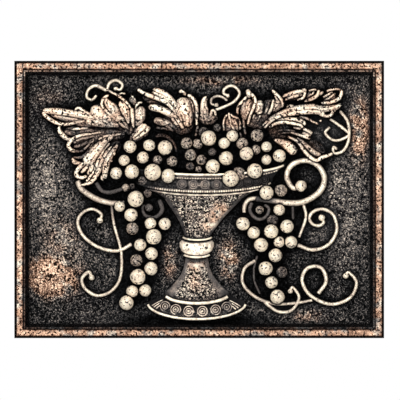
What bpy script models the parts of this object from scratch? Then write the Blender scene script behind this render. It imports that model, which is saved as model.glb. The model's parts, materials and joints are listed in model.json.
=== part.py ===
"""Metal wall plaque: one casting, a rectangular frame round an urn of grapes and vine leaves in high relief.

The plaque hangs in the XZ plane. Its flat back is on y = 0, its front faces -Y, and the origin is the middle
of its back.
"""

import math

import bmesh
import bpy
from mathutils import Matrix, Vector

# Driving sizes of the plate and its frame, in metres
WIDTH = 0.4064
HEIGHT = 0.3048
RIM_DEPTH = 0.020
FIELD_DEPTH = 0.006
EDGE_ROUND = 0.0025
BAND_WIDTH = 0.0068
GROOVE_WIDTH = 0.0010
GROOVE_DEPTH = 0.0008
BEAD_WIDTH = 0.0014
WALL_RUN = 0.0050

FRAME_WIDTH = EDGE_ROUND + BAND_WIDTH + GROOVE_WIDTH + BEAD_WIDTH + WALL_RUN

# The relief is a free form, drawn on a sheet that holds the field inside the frame. Its places, widths and
# heights above the field are in the sheet's units, with (0, 0) in the middle, and are scaled to the field.
SHEET_WIDTH = 373.0
SHEET_HEIGHT = 271.4
UNIT = min((WIDTH - 2 * FRAME_WIDTH) / SHEET_WIDTH, (HEIGHT - 2 * FRAME_WIDTH) / SHEET_HEIGHT)

# How far every relief form runs down into the plate, in sheet units
SINK = 1.5

# The relief stands on a slab that is let into the plate, and runs a little way into the frame's walls
SLAB_BACK = 0.002
SLAB_OVERLAP = 0.0015
SLAB_PROUD = 0.001

# Facets of the relief's forms, and of the relief once they are fused. A ridge bends at its shoulders, a share
# of its half width.
BERRY_SIDES = 16
BERRY_RINGS = 10
URN_STEPS = 36
STRAND_STEPS = 5
RIDGE_STEPS = 5
RIDGE_SHOULDER = 0.7
FUSE_SIZE = 0.0012
RELIEF_FACETS = 7450

# Grapes: x, z and radius. A front berry's middle stands BERRY_LIFT radii above the field, and those set
# back or deep between the others stand lower.
BERRY_LIFT = {"front": 1.15, "set_back": 0.85, "deep": 0.55}
BERRY_NECK = 0.8
BERRIES = {
    "front": [
        # heaped on the left of the urn
        (-76, 58, 7.2), (-55, 59.5, 6.7), (-37.6, 57, 8.3), (-82.5, 43, 6.4), (-62, 46, 6.8),
        (-91.5, 29, 6.8), (-74, 30.5, 8.2), (-51, 30, 9.5), (-34, 26, 8),
        # hanging on the left
        (-70, 0.5, 9.3), (-87.5, -7.5, 6.2), (-75, -17, 7.5), (-53.5, -26.5, 6.8), (-38, -27, 7),
        (-50, -41, 8.8), (-65, -50, 7), (-52.5, -59.5, 7.2), (-53, -76, 7.6), (-67.5, -85, 8.8),
        (-73.5, -101, 6.9), (-59.5, -100, 6.9), (-80, -113.5, 8.2),
        # heaped in the middle and on the right of the urn
        (10.3, 67.5, 8.7), (14.8, 36.3, 8), (27.5, 62, 6.5), (36.5, 70, 6.7), (29.5, 45.3, 7.9),
        (52, 50.8, 7.8), (74, 58, 6), (74, 43.8, 5.7), (88.3, 48, 7.3), (34.6, 23, 9.4), (61, 31.5, 8.5),
        # hanging on the right
        (74, 7.5, 8), (88, -11.5, 6.5), (79, -35, 8.1), (48, -26.8, 7.7), (60, -36.5, 7),
        (96.6, -29.5, 7.6), (68, -50, 8), (88, -46.8, 6.4), (101, -46.7, 7), (83.8, -61.3, 7.7),
        (73, -75.8, 8), (79.5, -91, 7), (86, -106.8, 8.2),
    ],
    "set_back": [
        (-46, 43.5, 5.5), (-30, 42, 6), (-81, 13, 4.5), (-73.5, -32, 7.2), (-69, -67, 7),
        (-14, 62, 6.6), (-1.5, 61.5, 5.8), (-9.5, 49, 6.6), (2.5, 43.5, 5.8), (47.5, 61.5, 6.8),
        (62.5, 55, 5.6), (63.7, 70.5, 7.2), (-0.5, 33, 4), (90, 10, 7), (43.5, 28, 8),
    ],
    "deep": [
        (-62, 21, 6), (-57, 7, 5), (5, 74, 6), (14.5, 52.5, 5), (-10, 36.5, 5), (81, -23, 6.5),
        (91, -80, 6.5), (20, 79, 4.5), (-74, 14.5, 3.5),
    ],
}

# The urn is turned, then pressed flat on the field and drawn as if seen from above, so that its rings sag
# towards the front. Its profile is radius and height, from the middle of the mouth to the middle of the foot.
URN_PROFILE = [
    # the mouth, its rim, the ornamented band and the two raised lines under it
    (0, 37), (84, 37.5), (88, 41.8), (92, 41.8), (92.5, 39), (87, 36.5), (76.5, 25.5), (79.3, 23.8),
    (79.3, 21.4), (71, 20.2), (71, 17.6), (67, 16),
    # the bowl
    (45, 4), (36, -7), (27, -18), (21, -27), (15, -38.6),
    # the knop between its two rings
    (17.8, -39.2), (17.8, -41.6), (14.6, -43.2), (19, -46.8), (19, -52), (13.8, -58), (16.2, -58.8),
    (16.2, -61.2), (12.6, -62.8),
    # the foot
    (13.6, -70), (16.5, -79), (21.5, -88), (29, -97), (34.6, -100.8), (38.8, -101.6), (38.8, -105),
    (37, -106.8), (50, -111), (55.6, -112.2), (55.6, -115.4), (0, -116.5),
]
URN_RISE = 12.0
URN_RISE_POWER = 0.4
URN_BURIED = 3.0
URN_SUNK = 0.4
RIM_RADIUS = 91.5
RIM_HEIGHT = 41.0
RIM_SAG = 0.16
FOOT_HEIGHT = -113.0
FOOT_SAG = 0.33
FOOT_X = -2.7
BOWL_X = 5.0
LEAN_FROM = -45.0
LEAN_TO = 5.0
ON_AXIS = 1e-6

# Strands: half thickness at the start and at the end, radius of the ball that ends it (0 for none), and the
# places that a smooth curve runs through
STRAND_DEEPER = 1.5
STRAND_WIDER = 1.16
HANDLES = [
    (3.1, 2.6, 6.6, [(62, 1), (80, -1), (97, -3.7), (115, -2.5), (132, 8), (138, 22), (132, 36), (118, 43),
                     (102, 38), (96.5, 25), (103, 13), (112, 15)]),
    (2.5, 1.9, 0, [(74, 0.5), (63, 1.5), (54.5, -0.5), (50, -7), (49.5, -15)]),
    (2.0, 1.7, 4.7, [(58, -3), (55.8, -11), (59.5, -18.5), (67, -22), (74.5, -18), (76.8, -10), (72, -5.5),
                     (66.5, -11.5)]),
    (3.0, 2.6, 0, [(-134, 21), (-129, 11), (-113, 0.5), (-96, -4), (-82, -4)]),
    (2.0, 2.0, 0, [(-114, 19), (-107, 9.5), (-97, 8), (-84, 12)]),
    (2.2, 1.8, 4.6, [(-44, 0), (-41, -12), (-49, -20), (-60, -17), (-62, -7), (-55.5, -9)]),
]
TENDRILS = [
    # above the left leaf
    (1.8, 1.4, 0, [(-102, 120), (-114, 125.5), (-122, 121), (-124, 113), (-118, 110), (-113, 115)]),
    (1.8, 1.4, 2.6, [(-102, 119), (-99, 128), (-92, 131.5), (-85, 127), (-87, 121), (-92, 122)]),
    # left of the hanging grapes
    (1.9, 1.5, 3.6, [(-74, -49), (-90, -56.5), (-110, -53), (-127, -41), (-134, -26), (-129, -15),
                     (-118, -10.5), (-108, -16), (-109.5, -23)]),
    (1.9, 1.6, 3.3, [(-97, -3), (-94, -27), (-86, -58), (-87, -86), (-97, -101), (-112, -106), (-125, -99),
                     (-129.5, -88), (-122, -80), (-118.5, -86)]),
    # right of the hanging grapes
    (1.5, 1.3, 0, [(103, -6), (103.5, -22)]),
    (1.7, 1.4, 0, [(115, -5), (117.5, -20), (110, -42)]),
    (1.9, 1.6, 3.8, [(108, -50), (125, -55.5), (142, -50), (151.5, -35), (149, -19), (141, -12),
                     (132.5, -10.8), (124.5, -14.5), (121.5, -21), (125, -27), (131.5, -29), (137, -25.5),
                     (135, -20)]),
    (1.8, 1.5, 0, [(62, -67), (50, -76), (48, -92), (60, -106), (80, -114.5), (104, -114.5), (125, -111)]),
    (1.2, 1.0, 0, [(64, -62), (60.5, -76), (61, -90), (67, -104)]),
    (1.8, 1.5, 3.0, [(72, -113), (87, -123.5), (102, -122), (110, -108), (103, -97), (100.5, -101)]),
    (2.0, 1.7, 3.4, [(131, -104), (140, -90), (134, -75), (119, -76), (113.5, -90), (123, -106),
                     (145, -115.5), (166, -108.5), (173.5, -92), (165, -80.5), (161.5, -84)]),
    # above the grapes in the middle
    (1.6, 1.5, 2.3, [(16, 98), (27, 102), (38, 107.5), (44.5, 116), (41, 123), (34.5, 125.5), (28, 122),
                     (27, 117), (31.5, 114.5)]),
    (1.3, 1.2, 2.4, [(31, 109), (25.5, 112.8), (19, 114), (13.5, 110.5), (13.5, 105.5), (19, 104)]),
    # right of the right leaf
    (2.1, 1.8, 0, [(155, 98), (164, 85), (165, 67), (159, 54), (149, 51), (148, 58), (152, 55)]),
    (2.0, 1.6, 0, [(144, 89), (158, 79), (165, 71), (150, 65), (139, 73), (144, 80)]),
]

# Ridges of the leaves: height above the field, and the middle line from the hub to the tip as x, z and width
RIDGE_BACK = 3.2
RIDGE_WIDER = 1.25
LEFT_LEAF = [
    # its upper half
    (6.5, [(-86, 82, 10), (-125, 89, 14), (-150, 90, 12), (-166, 94, 6)]),
    (11, [(-92, 87, 8), (-112, 90, 10), (-141, 95, 6.5), (-157, 97, 6.5), (-172, 98, 4.5)]),
    (10.5, [(-128, 86, 2.6), (-145, 82.8, 3.2), (-163, 87.5, 3.8), (-172.5, 96.5, 2.6)]),
    (8.8, [(-118, 86, 5), (-136, 88, 7), (-163, 93.5, 3)]),
    (12.5, [(-92, 86, 12), (-103, 91, 14), (-112, 96.5, 14), (-118.5, 102, 8.5)]),
    (11, [(-88, 82, 6), (-100, 84, 8), (-113, 85.5, 9), (-126, 87, 6)]),
    (11, [(-117, 91.5, 2.8), (-129, 98.8, 3.2), (-137, 98.5, 2.4)]),
    (12.8, [(-89, 86, 2.8), (-101.5, 96.8, 3), (-107.3, 105.5, 3), (-99.5, 115, 2.6)]),
    (12.5, [(-87, 87, 5), (-91.5, 94, 9), (-96.5, 101, 10), (-103.5, 112, 4)]),
    (12.5, [(-77.5, 84, 3), (-79.5, 92, 6), (-82, 99, 8.5), (-87, 108.5, 4.5)]),
    (11.5, [(-72.5, 79, 2.6), (-73.8, 94, 4), (-74, 101, 3.2)]),
    (11, [(-68, 80, 4), (-66, 88, 9), (-65, 96, 10.5), (-65, 105, 8)]),
    (10.5, [(-73, 67, 5), (-66, 72.5, 9), (-61, 77.5, 12), (-57, 81.5, 11)]),
    (10, [(-90, 86, 3), (-86, 83, 3.4), (-80, 78, 3)]),
    (12, [(-101, 120.5, 2.4), (-83, 109.5, 2.6), (-75, 100, 2)]),
    (9.2, [(-71, 104, 3), (-73, 109, 6), (-76, 114, 5)]),
    (6, [(-66, 72, 10), (-76, 82, 18), (-88, 94, 24), (-96, 104, 14)]),
    # its lower half
    (7.2, [(-82, 72, 7), (-95, 71.5, 10), (-112, 70, 12), (-140, 74, 12), (-149, 75.5, 8)]),
    (9.8, [(-138.5, 66.5, 2.6), (-145, 66.8, 4), (-151, 71.5, 5), (-153.5, 81.5, 2.8)]),
    (6.2, [(-108, 69, 8), (-122, 65, 14), (-134, 61, 14), (-139, 60, 9)]),
    (9.6, [(-108, 74, 2.6), (-129, 70.8, 3), (-141.5, 64.5, 3.8), (-144, 59.5, 3.8), (-136, 52.8, 3.2),
           (-123.5, 58, 2.6), (-111, 67.5, 2.4)]),
    (9.2, [(-129.5, 40, 2.6), (-137.5, 41.5, 4), (-140, 45.8, 2.4)]),
    (8.2, [(-112, 66, 2.6), (-121, 54, 3.4), (-132, 46.2, 3), (-139, 46.6, 2)]),
    (12, [(-95, 69, 3), (-103, 64.5, 6), (-111, 56.8, 9.5), (-122, 43, 11), (-126, 37, 8)]),
    (11.2, [(-121, 44, 4.4), (-133.2, 33.5, 4.2), (-133, 24.8, 4), (-123.5, 26, 3)]),
    (11.6, [(-117.5, 46, 5), (-117.4, 39.5, 4.6), (-122.8, 27.5, 3.4)]),
    (10, [(-99, 62, 2.8), (-109, 46.5, 3.8), (-117.3, 29.5, 3.2), (-124.5, 19.6, 2)]),
    (10.6, [(-96, 58, 2.6), (-105.8, 45, 4.2), (-110.5, 33, 5.4), (-121, 18, 3.6), (-131.5, 15.3, 2.2)]),
    (11, [(-90, 60, 2.8), (-99.8, 45, 6.8), (-103.6, 29, 5.6), (-104, 21, 4)]),
    (5.3, [(-88, 64, 12), (-104, 52, 20), (-116, 38, 18), (-120, 28, 10)]),
]
MIDDLE_LEAF = [
    (7.5, [(-12, 74, 8), (-20, 82, 14), (-28, 90, 16), (-36, 98, 14)]),
    (11, [(-17, 82, 3.4), (-28, 99, 4.6), (-46, 111.2, 4.6), (-62, 117.6, 3.8), (-68, 121.6, 3.2)]),
    (12.6, [(-19, 86, 4), (-29, 106.5, 6.5), (-40, 116.3, 7.4), (-51, 119.8, 6)]),
    (13, [(-13, 80, 7), (-13, 90, 10.5), (-16.5, 100, 13), (-20, 108.5, 14.5), (-21.5, 112, 12)]),
    (11, [(-3, 82, 2.8), (-2.5, 98, 3.6), (-8, 112.5, 3.8), (-13, 115.3, 3)]),
    (9.5, [(-6, 88, 4), (-6.5, 98, 5), (-13, 112, 4)]),
    (11, [(-14.5, 115, 3), (-20, 119.4, 3.2), (-22, 117, 2.6)]),
    (11, [(-22, 88, 5), (-32, 94.5, 7), (-42, 99, 7), (-56, 102, 6)]),
    (8.8, [(-26, 81, 4), (-35, 84, 6), (-50, 87.5, 6)]),
    (6.5, [(-32, 100, 5), (-45, 105.5, 5), (-62, 114, 3)]),
    (11.3, [(-28, 94, 3), (-22, 83, 5), (-18, 77, 3.4)]),
    (7.5, [(-48, 70, 3), (-40, 70.8, 3.4), (-27, 60, 3), (-25, 52, 2.4)]),
    (6.5, [(-14, 72, 14), (-18, 84, 22), (-20, 98, 26), (-22, 108, 18)]),
]
RISING_LEAVES = [
    (8.6, [(9.5, 82, 12), (9.5, 90, 18), (9, 96, 14)]),
    (9.6, [(7, 88, 8), (6, 98, 7), (8, 112, 2.6)]),
    (10.5, [(2.5, 92, 3.4), (4, 105, 4.6), (8, 113.7, 2.8)]),
    (10, [(12.5, 91, 3), (15, 98, 3.4), (18.2, 92, 2.6)]),
    (9.3, [(37, 72, 10), (36.5, 80, 14), (35, 87, 12), (33, 94, 4)]),
    (10.6, [(38.5, 76, 2.4), (35.5, 82, 2.4), (32.6, 96, 2.4)]),
    (10.5, [(50, 88, 5), (51, 97, 10), (54.5, 106, 12.5), (52.5, 121.5, 4)]),
    (11.6, [(53.5, 83, 2.6), (57.5, 96, 3), (61.8, 108, 3.2), (56.5, 117, 3)]),
    (11, [(42.3, 93, 2.4), (44.5, 104.5, 3), (52, 113.5, 3.2)]),
    (10.8, [(62, 94, 4), (65.5, 100, 7), (66.3, 105.5, 7.5), (66, 110.5, 5.5)]),
    (8.5, [(60, 84, 5), (63, 89, 6), (67, 93.5, 5)]),
    (10, [(80, 96, 6), (85, 103, 10), (87, 109, 9), (82, 119.5, 3.4)]),
    (11, [(76, 94, 2.8), (80.5, 103.5, 3), (81.8, 110.5, 2.6)]),
    (6.8, [(57, 80, 10), (57, 94, 17), (57, 104, 16), (55, 114, 6)]),
    (6, [(60, 78, 10), (69, 90, 16), (78, 101, 16), (84, 110, 9)]),
]
RIGHT_LEAF = [
    (5.5, [(76, 74, 16), (90, 78, 24), (104, 76, 20)]),
    (4.8, [(103, 67, 10), (117, 60, 15), (130, 55, 13), (139, 51, 6)]),
    (12.6, [(70, 81, 2.6), (88, 94, 4), (112, 100.2, 7), (124, 100.8, 7.5), (136, 99.5, 6), (157, 105, 3)]),
    (13, [(72, 79, 2.6), (88, 91.5, 3.8), (112, 96, 5), (124, 97, 5.5), (138, 93, 3.8)]),
    (11.6, [(133, 94, 3.4), (141, 91.6, 3.2), (150.5, 99, 3)]),
    (12, [(92, 112.5, 3.4), (104, 115.5, 7), (112, 117.5, 8), (118, 119.5, 5)]),
    (11.6, [(107, 108.5, 2.4), (116, 114, 3.2), (117, 120, 3)]),
    (8.5, [(118, 112, 5), (124, 115, 8), (127, 117.5, 7)]),
    (11.6, [(116, 108, 2.6), (128.5, 113.5, 3.4), (131.3, 121, 3)]),
    (10.8, [(132, 114.5, 2.8), (137, 119.5, 2.8)]),
    (10, [(136, 106.5, 4), (146, 112.5, 12), (151, 116, 11)]),
    (12, [(134.5, 106.5, 3), (149, 108.3, 3.6), (156.5, 116.5, 3.6), (156, 121, 3)]),
    (11, [(84, 87.8, 2.6), (102, 88.4, 3.8), (115, 84.5, 4), (116.3, 81.5, 3)]),
    (11.2, [(77.5, 79.5, 2.8), (90, 84.8, 3.8), (106, 83, 3.4), (113.5, 78.5, 2.8)]),
    (9, [(110, 91.5, 2.4), (124, 86.2, 2.8), (132, 84, 2.4)]),
    (9.6, [(101, 74, 2.4), (112, 71.5, 5), (120, 70.8, 8.5), (124, 70, 8)]),
    (8, [(106, 66, 4), (115, 58.5, 9), (124, 50.5, 9), (130, 47, 6)]),
    (9.6, [(108, 68, 2.4), (121, 56.5, 4.4), (134, 48.5, 4)]),
    (11, [(97, 69.3, 2.6), (108.5, 63.5, 3), (118.5, 50, 3.6), (129.5, 43, 3.6), (147, 50.6, 2.6)]),
    (12, [(83, 65.5, 3.4), (90, 63.3, 6), (101.5, 55.5, 8.8), (106, 50.2, 8.4)]),
]

# Colour of the aged copper finish
FINISH_COLOUR = (0.30, 0.20, 0.14, 1.0)
FINISH_METALLIC = 0.75
FINISH_ROUGHNESS = 0.42


def clear_scene():
    for obj in list(bpy.data.objects):
        bpy.data.objects.remove(obj)


def new_collection(name):
    collection = bpy.data.collections.new(name)
    bpy.context.scene.collection.children.link(collection)
    return collection


def object_from(bm, name, collection):
    mesh = bpy.data.meshes.new(name)
    bm.to_mesh(mesh)
    bm.free()
    obj = bpy.data.objects.new(name, mesh)
    collection.objects.link(obj)
    return obj


def add_form(bm, name, relief):
    """Keeps one closed relief form as a helper that the plate is joined with."""
    bmesh.ops.triangulate(bm, faces=bm.faces)
    bmesh.ops.recalc_face_normals(bm, faces=bm.faces)
    obj = object_from(bm, name, relief)
    obj.hide_render = True
    obj.display_type = "WIRE"
    return obj


def on_sheet(x, z, lift):
    """The point of the plaque at a place of the sheet, lift sheet units above the field."""
    return Vector((x * UNIT, -FIELD_DEPTH - lift * UNIT, z * UNIT))


def smooth_path(places, steps):
    """Places along a smooth curve through the given ones, with steps spans between each two."""
    ends = [2 * Vector(places[0]) - Vector(places[1]), 2 * Vector(places[-1]) - Vector(places[-2])]
    line = [ends[0]] + [Vector(place) for place in places] + [ends[1]]
    path = []
    for before, start, stop, after in zip(line, line[1:], line[2:], line[3:]):
        for step in range(steps):
            t = step / steps
            path.append(0.5 * (
                2 * start
                + (stop - before) * t
                + (2 * before - 5 * start + 4 * stop - after) * t ** 2
                + (3 * start - 3 * stop + after - before) * t ** 3
            ))
    path.append(Vector(places[-1]))
    return path


def add_berry(x, z, radius, place, relief):
    """A round berry, pole to the front, on a neck that runs into the plate."""
    lift = BERRY_LIFT[place] * radius
    bm = bmesh.new()
    bmesh.ops.create_uvsphere(bm, u_segments=BERRY_SIDES, v_segments=BERRY_RINGS, radius=radius)
    for vert in bm.verts:
        if vert.co.z < -0.6 * radius:
            neck = BERRY_NECK * radius if vert.co.xy.length > ON_AXIS else 0
            across = vert.co.xy.normalized() * neck
            vert.co = Vector((across.x, across.y, -lift - SINK))
    for vert in bm.verts:
        vert.co = on_sheet(x + vert.co.x, z + vert.co.y, lift + vert.co.z)
    add_form(bm, "berry", relief)


def urn_place(point):
    """Where a point of the turned urn goes: pressed on the field, leaning a little and seen from above."""
    across, outward, height = point
    radius = math.hypot(across, outward)
    share = min(1, max(0, (height - LEAN_FROM) / (LEAN_TO - LEAN_FROM)))
    middle = FOOT_X + (BOWL_X - FOOT_X) * share
    if radius < ON_AXIS:
        return on_sheet(middle, height, -URN_SUNK)
    if outward < 0:
        return on_sheet(middle + across, height, URN_BURIED * outward / radius - URN_SUNK)
    down = (RIM_HEIGHT - height) / (RIM_HEIGHT - FOOT_HEIGHT)
    sag = RIM_SAG + (FOOT_SAG - RIM_SAG) * down
    rise = URN_RISE * (radius / RIM_RADIUS) ** URN_RISE_POWER * outward / radius
    return on_sheet(middle + across, height - sag * outward, rise - URN_SUNK)


def add_urn(helpers):
    bm = bmesh.new()
    verts = [bm.verts.new((radius, 0, height)) for radius, height in URN_PROFILE]
    for first, second in zip(verts, verts[1:]):
        bm.edges.new((first, second))
    profile = object_from(bm, "urn_profile", helpers)
    screw = profile.modifiers.new("Turn", "SCREW")
    screw.steps = screw.render_steps = URN_STEPS
    screw.use_merge_vertices = True
    screw.merge_threshold = 0.0001
    graph = bpy.context.evaluated_depsgraph_get()
    turned = bpy.data.meshes.new_from_object(profile.evaluated_get(graph))
    bpy.data.objects.remove(profile)
    bm = bmesh.new()
    bm.from_mesh(turned)
    bpy.data.meshes.remove(turned)
    for vert in bm.verts:
        vert.co = urn_place(vert.co)
    return add_form(bm, "urn", helpers)


def add_strand(start, end, ball, places, relief):
    """A tapering round strand that lies on the field, with a ball at its end."""
    path = smooth_path(places, STRAND_STEPS)
    curve = bpy.data.curves.new("strand", "CURVE")
    curve.dimensions = "3D"
    curve.bevel_depth = 1.0
    curve.bevel_resolution = 1
    curve.use_fill_caps = True
    spline = curve.splines.new("POLY")
    spline.points.add(len(path) - 1)
    for index, (point, place) in enumerate(zip(spline.points, path)):
        point.co = (place.x, 0, place.y, 1)
        point.radius = STRAND_WIDER * (start + (end - start) * index / (len(path) - 1))
    drawn = bpy.data.objects.new("strand", curve)
    relief.objects.link(drawn)
    graph = bpy.context.evaluated_depsgraph_get()
    tube = bpy.data.meshes.new_from_object(drawn.evaluated_get(graph))
    bpy.data.objects.remove(drawn)
    bm = bmesh.new()
    bm.from_mesh(tube)
    bpy.data.meshes.remove(tube)
    bmesh.ops.remove_doubles(bm, verts=bm.verts, dist=0.0001)
    for vert in bm.verts:
        vert.co = on_sheet(vert.co.x, vert.co.z, start - vert.co.y * STRAND_DEEPER)
    add_form(bm, "strand", relief)
    if ball:
        add_berry(*places[-1], ball, "deep", relief)


def add_ridge(lift, places, relief):
    """A leaf's ridge: a rounded back with steep sides that run into the plate, closing to a round tip."""
    path = smooth_path(places, RIDGE_STEPS)
    last = len(path) - 1
    bm = bmesh.new()
    rings = []
    for index, place in enumerate(path):
        along = (path[min(index + 1, last)] - path[max(index - 1, 0)]).xy.normalized()
        side = Vector((-along.y, along.x))
        width = place.z
        to_tip = sum((after - before).xy.length for before, after in zip(path[index:], path[index + 1:]))
        rounding = math.sqrt(max(0.1, 1 - (1 - min(1, 2 * to_tip / width)) ** 2))
        half = 0.5 * RIDGE_WIDER * width * rounding
        crest = lift * (0.82 + 0.18 * math.sin(math.pi * index / last)) - 0.35 * width * (1 - rounding)
        back = min(0.9 * half, RIDGE_BACK)
        section = [(across, crest - back * (1 - math.sqrt(1 - across ** 2)))
                   for across in (-1, -RIDGE_SHOULDER, 0, RIDGE_SHOULDER, 1)]
        section += [(1, -SINK), (-1, -SINK)]
        ring = []
        for across, height in section:
            spot = place.xy + side * across * half
            ring.append(bm.verts.new(on_sheet(spot.x, spot.y, height)))
        rings.append(ring)
    count = len(rings[0])
    for first, second in zip(rings, rings[1:]):
        for index in range(count):
            after = (index + 1) % count
            bm.faces.new((first[index], first[after], second[after], second[index]))
    bm.faces.new(rings[0])
    bm.faces.new(reversed(rings[-1]))
    add_form(bm, "ridge", relief)


def add_plate(parts):
    """The plate and its frame: a box whose front face is drawn in and stepped from the edge to the field."""
    bm = bmesh.new()
    side = RIM_DEPTH - EDGE_ROUND
    bmesh.ops.create_cube(bm, size=1)
    bmesh.ops.transform(
        bm, verts=bm.verts,
        matrix=Matrix.Translation((0, -side / 2, 0)) @ Matrix.Diagonal((WIDTH, side, HEIGHT, 1)),
    )
    front = min(bm.faces, key=lambda face: face.calc_center_median().y)
    round_run = EDGE_ROUND * (1 - math.sqrt(0.5))
    steps = [
        (round_run, EDGE_ROUND - round_run),
        (EDGE_ROUND - round_run, round_run),
        (BAND_WIDTH, 0),
        (GROOVE_WIDTH / 2, -GROOVE_DEPTH),
        (GROOVE_WIDTH / 2, GROOVE_DEPTH),
        (BEAD_WIDTH, 0),
        (WALL_RUN, FIELD_DEPTH - SLAB_PROUD - RIM_DEPTH),
    ]
    for inward, outward in steps:
        bmesh.ops.inset_region(bm, faces=[front], thickness=inward, depth=outward, use_even_offset=True)
    return object_from(bm, "plaque", parts)


def add_field_slab(relief):
    """The field between the frame's walls, reaching a little under them."""
    bm = bmesh.new()
    width = WIDTH - 2 * FRAME_WIDTH + 2 * SLAB_OVERLAP
    height = HEIGHT - 2 * FRAME_WIDTH + 2 * SLAB_OVERLAP
    thickness = FIELD_DEPTH - SLAB_BACK
    middle = Matrix.Translation((0, -(FIELD_DEPTH + SLAB_BACK) / 2, 0))
    bmesh.ops.create_cube(bm, size=1)
    bmesh.ops.transform(bm, verts=bm.verts, matrix=middle @ Matrix.Diagonal((width, thickness, height, 1)))
    add_form(bm, "field", relief)


def join_with(plaque, form, name):
    join = plaque.modifiers.new(name, "BOOLEAN")
    join.operation = "UNION"
    join.object = form
    join.solver = "EXACT"


def fuse(relief):
    """All the forms of the relief and its slab as one closed surface with few facets."""
    bm = bmesh.new()
    for form in relief.objects:
        bm.from_mesh(form.data)
    fused = object_from(bm, "fused_relief", relief)
    fused.hide_render = True
    fused.display_type = "WIRE"
    remesh = fused.modifiers.new("Fuse", "REMESH")
    remesh.mode = "VOXEL"
    remesh.voxel_size = FUSE_SIZE
    graph = bpy.context.evaluated_depsgraph_get()
    fine = fused.evaluated_get(graph).to_mesh()
    fine.calc_loop_triangles()
    thin = fused.modifiers.new("Fewer facets", "DECIMATE")
    thin.ratio = min(1.0, RELIEF_FACETS / len(fine.loop_triangles))
    return fused


def finish_material():
    material = bpy.data.materials.new("aged_copper")
    material.use_nodes = True
    shader = material.node_tree.nodes["Principled BSDF"]
    shader.inputs["Base Color"].default_value = FINISH_COLOUR
    shader.inputs["Metallic"].default_value = FINISH_METALLIC
    shader.inputs["Roughness"].default_value = FINISH_ROUGHNESS
    return material


def main():
    clear_scene()
    parts = new_collection("wall_plaque")
    relief = new_collection("relief_forms")
    plaque = add_plate(parts)
    for place, berries in BERRIES.items():
        for x, z, radius in berries:
            add_berry(x, z, radius, place, relief)
    for strand in HANDLES + TENDRILS:
        add_strand(*strand, relief)
    for ridge in LEFT_LEAF + MIDDLE_LEAF + RISING_LEAVES + RIGHT_LEAF:
        add_ridge(*ridge, relief)
    add_field_slab(relief)
    join_with(plaque, fuse(relief), "Cast the relief on")
    join_with(plaque, add_urn(relief), "Cast the urn on")
    plaque.data.materials.append(finish_material())


main()
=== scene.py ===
"""Looks of the cast metal wall plaque: the fine relief, its aged copper finish, the light and the camera."""

import json
import math

import bmesh
import bpy
import numpy as np
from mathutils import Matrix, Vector
from mathutils.bvhtree import BVHTree
from mathutils.kdtree import KDTree

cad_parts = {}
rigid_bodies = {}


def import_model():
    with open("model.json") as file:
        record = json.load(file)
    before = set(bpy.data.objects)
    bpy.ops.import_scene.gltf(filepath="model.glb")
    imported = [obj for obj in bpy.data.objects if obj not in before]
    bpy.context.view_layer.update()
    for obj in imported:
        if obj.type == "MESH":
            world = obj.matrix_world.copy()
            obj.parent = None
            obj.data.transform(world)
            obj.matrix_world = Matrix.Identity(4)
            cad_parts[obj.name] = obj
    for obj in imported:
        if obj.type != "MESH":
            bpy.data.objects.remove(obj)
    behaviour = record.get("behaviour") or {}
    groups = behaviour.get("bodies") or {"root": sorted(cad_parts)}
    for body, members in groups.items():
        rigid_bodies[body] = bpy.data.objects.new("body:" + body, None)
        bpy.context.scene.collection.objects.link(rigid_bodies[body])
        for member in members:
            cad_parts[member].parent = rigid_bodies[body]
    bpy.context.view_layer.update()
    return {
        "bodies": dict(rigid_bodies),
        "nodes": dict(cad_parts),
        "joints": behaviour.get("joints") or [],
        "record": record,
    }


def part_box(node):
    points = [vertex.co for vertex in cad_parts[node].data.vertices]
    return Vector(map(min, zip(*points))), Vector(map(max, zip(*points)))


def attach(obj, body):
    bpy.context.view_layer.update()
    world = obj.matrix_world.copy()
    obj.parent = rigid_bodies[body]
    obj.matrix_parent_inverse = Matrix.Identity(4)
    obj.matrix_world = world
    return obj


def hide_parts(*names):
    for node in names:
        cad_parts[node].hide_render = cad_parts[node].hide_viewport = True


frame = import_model()
low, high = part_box("plaque")

# Sizes in millimetres. The relief's places are in the same units, from the middle of the plaque.
MM = 0.001
WIDTH = (high[0] - low[0]) / MM
HEIGHT = (high[2] - low[2]) / MM
EDGE_ROUND = 2.5
BAND_WIDTH = 6.8
GROOVE_WIDTH = 1.0
GROOVE_DEPTH = 0.8
BEAD_WIDTH = 1.4
WALL_RUN = 5.0
FRAME_WIDTH = EDGE_ROUND + BAND_WIDTH + GROOVE_WIDTH + BEAD_WIDTH + WALL_RUN

# Heights of the frame and of the field above the back, and how far the relief's forms run into the plate
RIM = 20.0
FIELD = 6.0
SINK = 2.0

# Spans of a curve between two of its places, how finely balls are divided, and the width of the field's grid
CURVE_STEPS = 24
GRAPE_FINENESS = 4
BALL_FINENESS = 3
GRID = 1.25

# The hammered field: sizes of its dents, their seeds, how strong the finer ones are, their depth and the run
# over which they set in from the wall
HAMMER = ((3.4, 1.9), (1, 2), 0.6)
HAMMER_DEPTH = 0.55
HAMMER_RUN = 1.5

# Pits of the frame's band: where the noise makes one, how steep and how deep it is, the depth of the dents
# between them, and how far from the outer edge they set in
PIT_FROM = 0.72
PIT_STEEPNESS = 4
PIT_DEPTH = 0.35
DENT_DEPTH = 0.12
DENT_LEVEL = 0.2
BAND_START = 1.0

# Grapes by how far they stand out: height of the middle as a share of the radius, brightness and speckle
BERRY_LIFT = {"front": 1.15, "set_back": 0.85, "deep": 0.55}
BERRY_SHINE = {"front": 1.12, "set_back": 0.72, "deep": 0.44}
BERRY_SPECKLE = {"front": 0.26, "set_back": 0.5, "deep": 0.45}

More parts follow.
